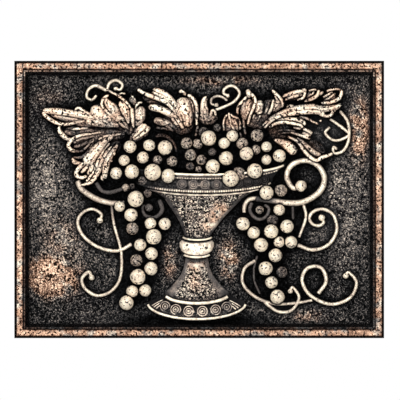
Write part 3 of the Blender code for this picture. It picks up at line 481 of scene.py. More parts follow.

# Brightness and copper share across the frame, by the distance in from its outer edge. Its darkness on the
# rounded outer edge and down the inner wall is painted shade
FRAME_FINISH_AND_SHADE = [
    (0, 0.0, 1), (2.3, 0.0, 1.1), (3.2, 0.62, 1.1), (BAND_WIDTH + EDGE_ROUND - 1.2, 0.62, 1.1),
    (BAND_WIDTH + EDGE_ROUND, 0.25, 4), (BAND_WIDTH + EDGE_ROUND + 0.5, 0.04, 0.6),
    (FRAME_WIDTH - WALL_RUN - 1.2, 0.05, 0.6), (FRAME_WIDTH - WALL_RUN - 0.9, 0.64, 0.8),
    (FRAME_WIDTH - WALL_RUN - 0.2, 0.6, 0.8), (FRAME_WIDTH - WALL_RUN + 0.7, 0.08, 0.3),
    (FRAME_WIDTH, 0.06, 0.2),
]

# Factors of the frame's brightness: on its inner lines but for the top one, on its upright sides, and its
# least where the field's mottling goes on. Then the speckle of the frame and of plain forms
LINES_DIM = 0.5
UPRIGHTS_LIT = 1.06
FRAME_MOTTLE = 0.6
FRAME_SPECKLE = 0.28
PLAIN_SPECKLE = 0.05

# Brightness of the field, of its worn and dusty patches and of the back, and how copper the worn patches are
FIELD_SHINE = 0.13
WORN_SHINE = 0.50
DUST_SHINE = 0.22
BACK_SHINE = 0.12
WORN_COPPER = 2.2

# How far up the sloping wall the field's finish reaches, the shares of open sky between which the field goes
# from painted shade, with dark patina, to lit, and the band beside the wall that is painted lit by this share
# however little sky it sees
WALL_LIT = 2.2
FIELD_SKY = (0.52, 0.9)
WALL_BAND = (18.0, 8.0)
WALL_BAND_EDGE = 1.5
WALL_BAND_SHADE = 0.95

# Speckle of the field and what a worn patch adds, and the least speckle and dust in shade, as shares
FIELD_SPECKLE = 0.62
WORN_SPECKLE = 0.35
SHADE_SPECKLE = 0.2
SHADE_DUST = 0.5
PITTING_MOST = 0.55

# Noises: lowest value, what the noise adds, its cell and its seed. Then how steeply a patch falls off
FIELD_MOTTLE = (0.75, 0.5, 12.0, 41)
FRAME_BLOTCH = (0.74, 0.5, 4.0, 43)
PATCH_EDGES = (0.45, 0.9, 8.0, 21)
PATCH_FALL = 1.5

# Relief: how far a point faces forward and how much sky it sees to be bright, and what is left of brightness
# and speckle where it sees none. Along with the rubbing, this paints a highlight on the forward faces and
# paints shade, with dark patina, where little sky is seen
RELIEF_FACING = (0.12, 0.5)
RELIEF_SKY = (0.24, 0.62)
UNSEEN_SHINE = 0.03
UNSEEN_SPECKLE = 0.3

# Relief: level of its mottling, strength and range of its redder areas, what a crevice takes away as dark
# patina and painted shade, how far round a point it is looked for, the rise that makes one, and the speckle
# from which worn patches show
RELIEF_LEVEL = 0.97
BLUSH = 0.7
BLUSH_RANGE = (0.35, 0.75)
CREVICE_LOSS = 0.75
CREVICE_REACH = 1.5
CREVICE_TURNS = 8
CREVICE_RISE = (0.05, 0.5)
PATCH_SPECKLE = 0.3

# Patches where the dark finish has worn to copper: middle x and z, reach in x and z, strength
WORN_PATCHES = [
    (-162, -85, 29, 22, 1.1), (-152, -45, 22, 24, 0.25), (177, 78, 10, 32, 0.95), (32, -66, 10, 19, 1.0),
    (-33, -68, 9, 17, 0.5), (25, 131, 40, 6, 0.4), (122, -128, 20, 7, 0.35), (-165, 110, 18, 18, 0.15),
]

# Patches of the field that are lighter but not worn through, in the same way
DUST_PATCHES = [
    (-168, 10, 30, 60, 1.0), (-167, 15, 11, 60, 1.35), (152, 5, 12, 30, 1.6), (-150, -50, 30, 30, 0.8),
    (166, -10, 30, 75, 1.0), (170, 110, 22, 40, 0.5), (-165, 120, 34, 20, 0.2), (136, 75, 26, 22, 0.9),
    (0, 130, 110, 10, 0.35), (-100, -75, 40, 40, 0.35), (100, -125, 60, 12, 0.6), (-100, -128, 60, 12, 0.4),
    (135, -35, 22, 22, 0.6),
]

# Painted shadow on the field below the urn's foot, by the bottom wall, in the same way
PAINTED_SHADOW_PATCHES = [(-8, -134, 72, 9, 1.6)]

# Brightness of the urn's worn patches, the speckle from which they show and what they take off it
URN_WORN_SHINE = 0.78
URN_PATCH_GRAIN = 0.45
URN_PATCH_CALM = 0.75

# Patches of the urn that are worn to copper, in the same way
URN_PATCHES = [
    (21, -12, 12, 10, 1.0), (12, -25, 13, 9, 1.05), (-4, -70, 9, 10, 0.9), (-4, -90, 9, 12, 0.5),
    (-14, 0, 14, 30, 0.2),
]

# The metal's grain, per metre: scale of each noise, and the values between which it goes from dark to bright
FINE_GRAIN = (1150.0, 0.40, 0.60)
COARSE_GRAIN = (620.0, 0.49, 0.59)
BLOTCHES = (90.0, 0.3, 0.6)
PITS = (400.0, 0.29, 0.35)
GRAIN_ROUGHNESS = 0.6

# Share of the fine grain, the grain that leaves the brightness as it is, how much denser the pits get, how
# fast they darken with the speckle, and their most
FINE_SHARE = 0.45
GRAIN_LEVEL = 0.35
PITTING_REACH = 0.2
PIT_SPECKLE = 3.0
PIT_DARKNESS = 0.85

# Metalness and roughness: from which brightness, rubbed and painted, to which they change, and from which
# value to which
METALLIC = (0.1, 0.8, 0.0, 0.6)
ROUGHNESS = (0.1, 0.9, 0.62, 0.36)
BUMP_STRENGTH = 0.5
BUMP_DISTANCE = 0.0006

# Colours from the dark finish and painted shade to the rubbed metal and painted highlights, where it is pale
# and where it is copper
PALE_METAL = [
    (0.0, (0.0005, 0.0005, 0.0005)), (0.2, (0.017, 0.0172, 0.018)), (0.45, (0.115, 0.104, 0.098)),
    (0.7, (0.46, 0.38, 0.31)), (1.0, (0.98, 0.88, 0.69)),
]
RED_METAL = [
    (0.0, (0.0008, 0.0005, 0.0004)), (0.22, (0.025, 0.014, 0.010)), (0.45, (0.17, 0.095, 0.065)),
    (0.7, (0.50, 0.30, 0.20)), (1.0, (0.92, 0.66, 0.47)),
]

# The whole-number mixing behind the noise
WORD = 0xFFFFFFFF
SEED_SPREAD = 2654435761
AXIS_SPREAD = (73856093, 19349663, 83492791)
STIR = (1103515245, 12345, 13)
NOISE_TOP = 0xFFFF

# The photograph is square on. Its pixels span the view, and the plaque's middle is at this pixel.
PICTURE = 400.0
PLAQUE_PIXELS = 370.0
MIDDLE_PIXEL = (199.2, 199.5)
CAMERA_AWAY = 3.0
SENSOR_WIDTH = 36.0

# Area lights: name, place, size and power. The sky's grey, and the plain floor's height, size and colour
LIGHTS = [
    ("key", (-0.5, -1.3, 0.9), (0.9, 0.9), 22), ("front", (0.15, -2.0, 0.1), (1.4, 1.0), 24),
    ("back", (0.4, 1.6, 0.9), (1.4, 1.0), 14),
]
SKY_GREY = 0.35
FLOOR_HEIGHT = -0.42
FLOOR_SIZE = 3.0
FLOOR_COLOUR = (0.86, 0.86, 0.85)


def value_noise(points, cell, seed):
    """Smooth noise from 0 to 1 at each point, with features about one cell across."""
    scaled = points / cell
    corner = np.floor(scaled).astype(np.int64)
    part = scaled - corner
    part = part * part * (3 - 2 * part)
    total = np.zeros(len(points))
    factor, step, shift = STIR
    for offset in np.ndindex(*(2,) * points.shape[1]):
        at = corner + np.array(offset)
        mixed = np.full(len(points), seed * SEED_SPREAD & WORD, dtype=np.int64)
        for axis in range(points.shape[1]):
            mixed = (mixed ^ (at[:, axis] * AXIS_SPREAD[axis])) & WORD
            mixed = (mixed * factor + step) & WORD
            mixed ^= mixed >> shift
        weight = np.prod(np.where(np.array(offset), part, 1 - part), axis=1)
        total += weight * ((mixed & NOISE_TOP) / NOISE_TOP)
    return total


def blotches(places, lowest, swing, cell, seed):
    """A factor that wanders across the places."""
    return lowest + swing * value_noise(places, cell, seed)


def rough_noise(places, cells, seeds, finer):
    """Noise of two sizes about 0, the finer one at a share of the coarser one's strength."""
    coarse, fine = (value_noise(places, cell, seed) for cell, seed in zip(cells, seeds))
    return coarse + finer * fine - 0.5 * (1 + finer)


def smoothstep(low_edge, high_edge, value):
    """A share that goes smoothly from 0 at the low edge to 1 at the high edge."""
    t = np.clip((value - low_edge) / (high_edge - low_edge), 0, 1)
    return t * t * (3 - 2 * t)


def at_least(least, share):
    """A share from 0 to 1, made to start at the least value."""
    return least + (1 - least) * share


def smooth_path(places, steps):
    """Points along a smooth curve through the places, with steps spans between each two."""
    line = np.array(places, dtype=float)
    line = np.vstack([2 * line[0] - line[1], line, 2 * line[-1] - line[-2]])
    path = []
    for before, start, stop, after in zip(line, line[1:], line[2:], line[3:]):
        for t in np.arange(steps) / steps:
            path.append(0.5 * (
                2 * start
                + (stop - before) * t
                + (2 * before - 5 * start + 4 * stop - after) * t ** 2
                + (3 * start - 3 * stop + after - before) * t ** 3
            ))
    path.append(line[-2])
    return np.array(path)


def even_path(places, spacing):
    """The same smooth curve as points an even distance apart."""
    path = smooth_path(places, CURVE_STEPS)
    run = np.concatenate([[0], np.cumsum(np.linalg.norm(np.diff(path[:, :2], axis=0), axis=1))])
    count = max(4, int(run[-1] / spacing) + 1)
    at = np.linspace(0, run[-1], count)
    return np.column_stack([np.interp(at, run, column) for column in path.T])


class Forms:
    """The closed forms of one piece, as helper objects, with each point's brightness, rubbed and painted, and
    speckle.
    """

    def __init__(self, name):
        self.name = name
        self.collection = bpy.data.collections.new(name)
        bpy.context.scene.collection.children.link(self.collection)
        self.points = []
        self.shine = []
        self.speckle = []

    def add(self, name, points, faces, shine, speckle=PLAIN_SPECKLE):
        """Points are x, z and lift above the field, in millimetres."""
        points = np.asarray(points, dtype=float)
        placed = np.column_stack([points[:, 0], -FIELD - points[:, 2], points[:, 1]]) * MM
        mesh = bpy.data.meshes.new(name)
        mesh.from_pydata(placed.tolist(), [], faces)
        bm = bmesh.new()
        bm.from_mesh(mesh)
        bmesh.ops.triangulate(bm, faces=bm.faces)
        bmesh.ops.recalc_face_normals(bm, faces=bm.faces)
        bm.to_mesh(mesh)
        bm.free()
        self.collection.objects.link(bpy.data.objects.new(name, mesh))
        self.points.append(placed)
        self.shine.append(np.broadcast_to(np.asarray(shine, dtype=float), len(points)))
        self.speckle.append(np.broadcast_to(np.asarray(speckle, dtype=float), len(points)))


def loft_faces(rings, count, closed=False):
    """Faces of a loft through rings of count points each, closed to a ring or with capped ends."""
    faces = []
    for ring in range(rings if closed else rings - 1):
        first, second = ring * count, (ring + 1) % rings * count
        for index in range(count):
            after = (index + 1) % count
            faces.append((first + index, first + after, second + after, second + index))
    if not closed:
        faces.append(tuple(range(count)))
        faces.append(tuple((rings - 1) * count + index for index in reversed(range(count))))
    return faces


def round_ball(fineness):
    """Points and faces of a ball of radius 1 about the origin."""
    bm = bmesh.new()
    bmesh.ops.create_icosphere(bm, subdivisions=fineness, radius=1.0)
    points = np.array([vert.co for vert in bm.verts])
    faces = [tuple(vert.index for vert in face.verts) for face in bm.faces]
    bm.free()
    return points, faces


def add_berry(forms, ball, x, z, radius, place, shine, speckle):
    """A round berry on a neck that runs into the plate, a little out of round."""
    points, faces = ball
    lift = BERRY_LIFT[place] * radius
    own_place = np.array([x, z, radius])
    wobble = 1 + BERRY_WOBBLE * (value_noise(points * BERRY_LUMPS + own_place, cell=1.0, seed=3) - 0.5)
    moved = points * wobble[:, None] * radius
    under = np.clip((-NECK_FROM - points[:, 2]) / NECK_RUN, 0, 1)
    across = np.linalg.norm(moved[:, :2], axis=1) + 1e-9
    neck = np.minimum(1, BERRY_NECK * radius / across)
    moved[:, :2] *= (1 - under * (1 - neck))[:, None]
    moved[:, 2] += under * (-lift - SINK - moved[:, 2])
    forms.add("berry", moved + np.array([x, z, lift]), faces, shine, speckle)


def along_path(path):
    """The unit direction of a path of x and z at each of its points."""
    along = np.gradient(path[:, :2], axis=0)
    return along / np.linalg.norm(along, axis=1)[:, None]


def add_tube(forms, name, path, half, deep, shine, sides=12, speckle=PLAIN_SPECKLE):
    """A closed tube along a path of x, z and lift, half wide each way and deep up and down."""
    turns = np.arange(sides) * 2 * math.pi / sides
    way = along_path(path)
    across = np.cos(turns)[None, :] * half[:, None]
    points = np.stack([
        path[:, 0, None] - way[:, 1, None] * across,
        path[:, 1, None] + way[:, 0, None] * across,
        path[:, 2, None] + np.sin(turns)[None, :] * deep[:, None],
    ], axis=2)
    forms.add(name, points.reshape(-1, 3), loft_faces(len(path), sides), np.repeat(shine, sides), speckle)


def add_strand(forms, ball_shape, start, end, ball, shine, places):
    """A tapering strand on the field, deeper than wide, with a ball at its end."""
    path = even_path(places, STRAND_SPACING)
    uneven = 1 + STRAND_UNEVEN * (value_noise(path, cell=7.0, seed=11) - 0.5)
    thick = STRAND_WIDER * np.linspace(start, end, len(path)) * uneven
    thick[[0, -1]] *= STRAND_END
    raised = np.column_stack([path, np.full(len(path), start)])
    first, last = np.broadcast_to(shine, 2)
    bright = first + (last - first) * smoothstep(*STRAND_FADE, np.linspace(0, 1, len(path)))
    add_tube(forms, "strand", raised, thick, thick * STRAND_DEEPER, bright, speckle=STRAND_SPECKLE)
    if ball:
        add_berry(forms, ball_shape, *places[-1], ball, "set_back", last, BERRY_SPECKLE["front"])


def add_ridge(forms, lift, shine, places):
    """A leaf's ridge: a rounded back with steep sides that run into the plate, closing to a round tip."""
    path = even_path(places, RIDGE_SPACING)
    width = path[:, 2]
    path = path[:, :2]
    count = len(path)
    way = along_path(path)
    run = np.concatenate([[0], np.cumsum(np.linalg.norm(np.diff(path, axis=0), axis=1))])
    to_end = np.minimum(run + HUB_BLUNT, run[-1] - run)
    rounding = np.sqrt(np.clip(1 - (1 - np.clip(to_end / (0.5 * width), 0, 1)) ** 2, TIP_LEAST, 1))
    ripple = 1 + RIDGE_RIPPLE * (value_noise(path, cell=5.0, seed=17) - 0.5)
    half = 0.5 * RIDGE_WIDER * width * rounding * ripple
    share = np.linspace(0, 1, count)
    arch = RIDGE_ENDS + RIDGE_ARCH * np.sin(math.pi * share)
    crest = lift * arch - TIP_DROP * width * (1 - rounding)
    back = np.minimum(RIDGE_ROUNDEST * half, RIDGE_BACK)
    across = np.sin(np.linspace(-math.pi / 2, math.pi / 2, RIDGE_POINTS))
    height = crest[:, None] - back[:, None] * (1 - np.sqrt(1 - across ** 2))[None, :]
    creased = smoothstep(*CREASE_PATCHES, value_noise(path, cell=9.0, seed=61))
    creased = smoothstep(*CREASE_HALF_WIDTHS, half) * creased
    crease = np.exp(-((np.abs(across) - CREASE_AT) / CREASE_WIDTH) ** 2)[None, :] * creased[:, None]
    height -= CREASE_DEPTH * crease
    sunk = np.full((count, 1), -SINK)
    height = np.hstack([np.maximum(height, RIDGE_LEAST), sunk, sunk])
    offset = np.concatenate([across, [1, -1]])[None, :] * half[:, None]
    points = np.stack([
        path[:, 0, None] - way[:, 1, None] * offset,
        path[:, 1, None] + way[:, 0, None] * offset,
        height,
    ], axis=2)
    rough = rough_noise(points[:, :, :2].reshape(-1, 2), cells=(2.6, 1.5), seeds=(31, 32), finer=0.5)
    points[:, :-2, 2] += ROUGH_CAST * rough.reshape(count, -1)[:, :-2]
    bright = np.zeros((count, len(across) + 2))
    # Painted highlight on the crest and painted shade down the sides and at the edge, along with the rubbing
    rubbed_and_painted_light = 1 - SIDE_LOSS * across ** 2 - EDGE_LOSS * np.abs(across) ** 6
    bright[:, :-2] = RIDGE_SHINE * shine * rubbed_and_painted_light * (1 - CREASE_LOSS * crease)
    bright *= at_least(HUB_SHINE, smoothstep(*HUB_FADE, share))[:, None]
    faces = loft_faces(count, len(across) + 2)
    forms.add("ridge", points.reshape(-1, 3), faces, bright.ravel(), RIDGE_SPECKLE)


def urn_place(radius, height, turn):
    """x, z and lift of a point of the turned urn, turn being 0 at the front."""
    share = np.clip((height - LEAN_FROM) / (LEAN_TO - LEAN_FROM), 0, 1)
    middle = FOOT_X + (BOWL_X - FOOT_X) * share
    down = (RIM_HEIGHT - height) / (RIM_HEIGHT - FOOT_HEIGHT)
    sag = RIM_SAG + (FOOT_SAG - RIM_SAG) * down
    outward = np.cos(turn)
    rise = URN_RISE * (radius / RIM_RADIUS) ** URN_RISE_POWER * outward
    front = outward >= 0
    return (
        middle + radius * np.sin(turn),
        np.where(front, height - sag * radius * outward, height),
        np.where(front, rise, URN_BURIED * outward * (radius > 0)),
    )


def add_urn(forms):
    """The turned urn, pressed on the field."""
    profile = np.array(URN_PROFILE)
    run = np.concatenate([[0], np.cumsum(np.hypot(*np.diff(profile[:, :2], axis=0).T))])
    extra = np.linspace(run[1], run[-2], URN_RINGS)
    at = np.unique(np.round(np.concatenate([run, extra]), 3))
    at = at[(at > 0.01) & (at < run[-1] - 0.01)]
    radius, height, middle, side, grain = (np.interp(at, run, column) for column in profile.T)
    turns = np.arange(URN_STEPS) * 2 * math.pi / URN_STEPS
    to_side = smoothstep(*URN_SIDE, np.abs(np.sin(turns)))
    r, turn = np.meshgrid(radius, turns, indexing="ij")
    h = np.meshgrid(height, turns, indexing="ij")[0]
    points = np.stack(urn_place(r, h, turn), axis=2).reshape(-1, 3)
    shine = (middle[:, None] + (side - middle)[:, None] * to_side[None, :]).ravel()
    speckle = (grain[:, None] * (1 - SIDE_CALM * to_side)[None, :]).ravel()
    patch = patches(points[:, :2], URN_PATCHES) * (grain > URN_PATCH_GRAIN).repeat(URN_STEPS)
    shine = shine + patch * (URN_WORN_SHINE - shine)
    speckle = speckle * (1 - URN_PATCH_CALM * patch)
    forms.add("urn", points, loft_faces(len(at), URN_STEPS), shine, speckle)


def urn_line(radius, height, first, last, spacing):
    """x, z and lift along a line round the urn's front, between two turns."""
    count = int(radius * (last - first) / spacing)
    turns = np.linspace(first, last, count)
    return np.column_stack(urn_place(np.full(count, radius), np.full(count, height), turns))


def add_urn_lines(forms):
    """The raised lines round the urn, plain or twisted like a rope."""
    for radius, height, reach, half, twist, shine in URN_LINES:
        path = urn_line(radius, height, -reach, reach, TWIST_SPACING if twist else LINE_SPACING)
        share = np.abs(np.sin(math.pi * path[:, 0] / twist)) if twist else np.ones(len(path))
        thick = half * (TWIST_THICKNESS[0] + TWIST_THICKNESS[1] * share)
        bright = shine * (TWIST_SHINE[0] + TWIST_SHINE[1] * share)
        if radius > RIM_LINES_FROM:
            bright = bright * at_least(RIM_LINES_LEAST, smoothstep(*RIM_LINES_DIM, path[:, 0]))
        add_tube(forms, "line", path, thick, thick, bright, sides=8)


def add_circle(forms, x, z, lift, radius, thick, shine):
    """A small ring that lies flat on the relief."""
    points = []
    for turn in np.arange(RING_STEPS) * 2 * math.pi / RING_STEPS:
        for roll in np.arange(RING_SIDES) * 2 * math.pi / RING_SIDES:
            reach = radius + thick * math.cos(roll)
            place = (x + reach * math.cos(turn), z + reach * math.sin(turn))
            points.append((*place, lift + thick * math.sin(roll)))
    forms.add("circle", points, loft_faces(RING_STEPS, RING_SIDES, closed=True), shine)


def add_ornaments(forms, small_ball):
    """Two circles round a dot, in rows on the urn's band and foot, with strokes beside the foot's."""
    for turn in FOOT_STROKES:
        ends = urn_place(np.array(STROKE_RADII), np.array(STROKE_HEIGHTS), turn)
        path = even_path(np.column_stack(ends), 1.0)
        half = np.full(len(path), STROKE_HALF)
        add_tube(forms, "stroke", path, half, half, np.full(len(path), STROKE_SHINE), sides=6)
    points, faces = small_ball
    dot = points * np.array(DOT_RADII)
    for row, bright, dimming in zip(URN_ROWS, CIRCLE_SHINE, CIRCLE_DIMMING):
        radius, height, first, last, count, size = row
        for turn in np.linspace(first, last, count):
            x, z, lift = (float(value) for value in urn_place(radius, height, turn))
            shine = max(CIRCLE_LEAST, bright - dimming * abs(turn - CIRCLE_BRIGHTEST))
            for share, thick, shine_share in CIRCLE_RINGS:
                add_circle(forms, x, z, lift, share * size, thick, shine_share * shine)
            forms.add("dot", dot + np.array([x, z, lift]), faces, shine)


def join_relief(forms):
    """One closed mesh of all the forms."""
    first, *others = list(forms.collection.objects)
    forms.collection.objects.unlink(first)
    bpy.context.scene.collection.objects.link(first)
    join = first.modifiers.new("Join", "BOOLEAN")
    join.operation = "UNION"
    join.operand_type = "COLLECTION"
    join.collection = forms.collection
    join.solver = "MANIFOLD"
    graph = bpy.context.evaluated_depsgraph_get()
    mesh = bpy.data.meshes.new_from_object(first.evaluated_get(graph))
    for obj in [first, *others]:
        bpy.data.objects.remove(obj)
    bpy.data.collections.remove(forms.collection)
    relief = bpy.data.objects.new(forms.name, mesh)
    bpy.context.scene.collection.objects.link(relief)
    return relief


def frame_lines(size):
    """Grid lines from 0 to size: close together across the frame, wider over the field."""
    edge = np.concatenate([
        np.linspace(0, EDGE_ROUND, 5)[:-1],
        np.linspace(EDGE_ROUND, EDGE_ROUND + BAND_WIDTH, 8)[:-1],
        EDGE_ROUND + BAND_WIDTH + GROOVE_WIDTH * np.array([0, 0.5]),
        EDGE_ROUND + BAND_WIDTH + GROOVE_WIDTH + BEAD_WIDTH * np.array([0, 0.25, 0.75]),
        np.linspace(FRAME_WIDTH - WALL_RUN, FRAME_WIDTH, 7)[:-1],
    ])
    spans = int((size - 2 * FRAME_WIDTH) / GRID)
    middle = np.linspace(FRAME_WIDTH, size - FRAME_WIDTH, spans + 1)
    return np.concatenate([edge, middle, (size - edge)[::-1]])


def plate_height(inward):
    """Height of the framed plate's front above its back, by the distance inward from the outer edge."""
    band = EDGE_ROUND + BAND_WIDTH
    bead = band + GROOVE_WIDTH
    turns = np.linspace(0, math.pi / 2, 7)
    profile = [
        *zip(EDGE_ROUND * (1 - np.cos(turns)), RIM - EDGE_ROUND + EDGE_ROUND * np.sin(turns)),
        (band - 0.3, RIM), (band, RIM - 0.1), (band + GROOVE_WIDTH / 2, RIM - GROOVE_DEPTH),
        (bead, RIM - 0.4), (bead + BEAD_WIDTH / 2, RIM), (bead + BEAD_WIDTH, RIM - 0.5),
        (FRAME_WIDTH - 0.6, FIELD + 0.9), (FRAME_WIDTH + 0.8, FIELD),
    ]
    return np.interp(inward, *zip(*profile))


def make_plate():
    """The framed plate: its front a fine grid, its sides and back plain."""
    xs = frame_lines(WIDTH) - WIDTH / 2
    zs = frame_lines(HEIGHT) - HEIGHT / 2
    x, z = np.meshgrid(xs, zs)
    flat = np.column_stack([x.ravel(), z.ravel()])
    inward = np.minimum(WIDTH / 2 - np.abs(flat[:, 0]), HEIGHT / 2 - np.abs(flat[:, 1]))
    height = plate_height(inward)
    hammer = rough_noise(flat, *HAMMER)
    in_field = np.clip((inward - FRAME_WIDTH + HAMMER_RUN) / HAMMER_RUN, 0, 1)
    on_band = np.clip((inward - BAND_START) / BAND_START, 0, 1) * (inward < EDGE_ROUND + BAND_WIDTH)
    pits = np.clip(value_noise(flat, cell=2.2, seed=5) - PIT_FROM, 0, 1) * PIT_STEEPNESS
    dents = PIT_DEPTH * pits + DENT_DEPTH * (hammer + DENT_LEVEL).clip(0)
    height += in_field * HAMMER_DEPTH * hammer - on_band * dents
    rows, columns = len(zs), len(xs)
    front = np.column_stack([flat[:, 0], -height, flat[:, 1]])
    border = (
        [(0, c) for c in range(columns)] + [(r, columns - 1) for r in range(1, rows)]
        + [(rows - 1, c) for c in range(columns - 2, -1, -1)] + [(r, 0) for r in range(rows - 2, 0, -1)]
    )
    edge = [r * columns + c for r, c in border]
    back = front[edge] * np.array([1, 0, 1])
    points = np.vstack([front, back]) * MM
    faces = [
        (r * columns + c, r * columns + c + 1, (r + 1) * columns + c + 1, (r + 1) * columns + c)
        for r in range(rows - 1) for c in range(columns - 1)
    ]
    behind = len(front)
    count = len(edge)
    for index in range(count):
        after = (index + 1) % count
        faces.append((edge[after], edge[index], behind + index, behind + after))
    faces.append(tuple(behind + index for index in reversed(range(count))))
    mesh = bpy.data.meshes.new("plaque_plate")
    mesh.from_pydata(points.tolist(), [], faces)
    mesh.validate()
    plate = bpy.data.objects.new("plaque_plate", mesh)
    bpy.context.scene.collection.objects.link(plate)
    return plate


def read_vectors(items, name):
    """The named three numbers of each of a mesh's items."""
    values = np.empty(len(items) * 3, dtype=np.float32)
    items.foreach_get(name, values)
    return values.reshape(-1, 3).astype(float)


class HeightMap:
    """How high the plaque's front stands above its back, on an even grid."""

    CELL = 0.8
    TURNS = 12
    REACHES = (1.2, 2.4, 4.0, 6.0, 9.0, 13.0)

    # A point under the front is covered from this depth on, fully so after this run, and loses this share
    COVER_FROM = 0.8
    COVER_RUN = 1.5
    COVER_LOSS = 0.8

    def __init__(self, pieces):
        self.columns = int(WIDTH / self.CELL)
        self.rows = int(HEIGHT / self.CELL)
        self.heights = np.zeros((self.rows, self.columns))
        for piece in pieces:
            tree = BVHTree.FromObject(piece, bpy.context.evaluated_depsgraph_get())
            for row in range(self.rows):
                z = (row + 0.5) * self.CELL - HEIGHT / 2
                for column in range(self.columns):
                    x = (column + 0.5) * self.CELL - WIDTH / 2
                    hit = tree.ray_cast(Vector((x * MM, -0.1, z * MM)), Vector((0, 1, 0)))[0]
                    if hit:
                        self.heights[row, column] = max(self.heights[row, column], -hit.y / MM)

    def at(self, x, z):
        column = np.clip((x + WIDTH / 2) / self.CELL - 0.5, 0, self.columns - 1.001)
        row = np.clip((z + HEIGHT / 2) / self.CELL - 0.5, 0, self.rows - 1.001)
        c, r = column.astype(int), row.astype(int)
        across, up = column - c, row - r
        return (
            self.heights[r, c] * (1 - across) * (1 - up) + self.heights[r, c + 1] * across * (1 - up)
            + self.heights[r + 1, c] * (1 - across) * up + self.heights[r + 1, c + 1] * across * up
        )

    def openness(self, points):
        """Share of the sky in front of the plaque that each point sees, from 0 to 1."""
        own = -points[:, 1]
        seen = np.zeros(len(points))
        for turn in np.arange(self.TURNS) * 2 * math.pi / self.TURNS:
            steepest = np.zeros(len(points))
            for reach in self.REACHES:
                there = self.at(points[:, 0] + reach * math.cos(turn), points[:, 2] + reach * math.sin(turn))
                steepest = np.maximum(steepest, (there - own) / reach)
            seen += 1 - steepest / np.sqrt(1 + steepest ** 2)
        above = self.at(points[:, 0], points[:, 2]) - own
        covered = np.clip((above - self.COVER_FROM) / self.COVER_RUN, 0, 1)
        return seen / self.TURNS * (1 - self.COVER_LOSS * covered)


def crevice(heights, points):
    """How deep in a crease between higher parts each point lies, from 0 to 1."""
    own = heights.at(points[:, 0], points[:, 2])
    around = np.zeros(len(points))
    for turn in np.arange(CREVICE_TURNS) * 2 * math.pi / CREVICE_TURNS:
        x = points[:, 0] + CREVICE_REACH * math.cos(turn)
        z = points[:, 2] + CREVICE_REACH * math.sin(turn)
        around += heights.at(x, z)
    return smoothstep(*CREVICE_RISE, around / CREVICE_TURNS - own)


def patches(places, table):
    """How strongly each x and z lies in a table's patches, whose edges are ragged."""
    total = np.zeros(len(places))
    for x, z, reach_x, reach_z, strength in table:
        away = ((places[:, 0] - x) / reach_x) ** 2 + ((places[:, 1] - z) / reach_z) ** 2
        total = np.maximum(total, strength * np.exp(-away ** PATCH_FALL))
    return total * blotches(places, *PATCH_EDGES).clip(0, 1)


def store(mesh, name, values):
    """Keeps a number for each of the mesh's points, for the material to read."""
    layer = mesh.attributes.new(name, "FLOAT", "POINT")
    layer.data.foreach_set("value", np.asarray(values, dtype=np.float32))


def finish_and_shade_plate(plate, heights):
    """Stores the finish and the painted shade of the plate's points, by their place on the frame and the
    field.
    """
    mesh = plate.data
    points = read_vectors(mesh.vertices, "co") / MM
    places = points[:, [0, 2]]
    inward = np.minimum(WIDTH / 2 - np.abs(points[:, 0]), HEIGHT / 2 - np.abs(points[:, 2]))
    beside = inward - FRAME_WIDTH + WALL_LIT
    in_field = beside > 0
    mottle = blotches(places, *FIELD_MOTTLE)

    worn = patches(places, WORN_PATCHES)
    # Painted shadow below the urn's foot, which takes away the field's light and dust
    unshadowed = 1 - patches(places, PAINTED_SHADOW_PATCHES).clip(0, 1)
    # Painted shade, with dark patina in the hollows: darker where the field sees less sky, but lit beside the
    # walls
    by_wall = smoothstep(*WALL_BAND, beside) * smoothstep(0, WALL_BAND_EDGE, beside)
    lit = smoothstep(*FIELD_SKY, heights.openness(points))
    lit = np.maximum(lit, WALL_BAND_SHADE * by_wall) * unshadowed
    dust = DUST_SHINE * patches(places, DUST_PATCHES) * at_least(SHADE_DUST, lit) * unshadowed
    field = (FIELD_SHINE * mottle + WORN_SHINE * worn) * lit + dust

    # The frame's brightness, with painted shade on its rounded outer edge and its inner wall
    runs, shines, coppers = np.array(FRAME_FINISH_AND_SHADE).T
    frame = np.interp(inward, runs, shines) * at_least(FRAME_MOTTLE, mottle)
    frame *= blotches(places, *FRAME_BLOTCH)
    lines = (inward > BAND_WIDTH + EDGE_ROUND) & (points[:, 2] < HEIGHT / 2 - FRAME_WIDTH)
    upright = np.abs(points[:, 0]) > WIDTH / 2 - FRAME_WIDTH
    frame *= np.where(lines, LINES_DIM, 1) * np.where(upright, UPRIGHTS_LIT, 1)

    on_back = points[:, 1] > -1
    store(mesh, "shine", np.where(on_back, BACK_SHINE, np.where(in_field, field, frame)))
    store(mesh, "copper", np.where(in_field, WORN_COPPER * worn, np.interp(inward, runs, coppers)))
    speckle = (FIELD_SPECKLE + WORN_SPECKLE * worn) * at_least(SHADE_SPECKLE, lit)
    store(mesh, "speckle", np.where(in_field, speckle, FRAME_SPECKLE))
    store(mesh, "pitting", np.where(in_field, speckle.clip(0, PITTING_MOST), PITTING_MOST))


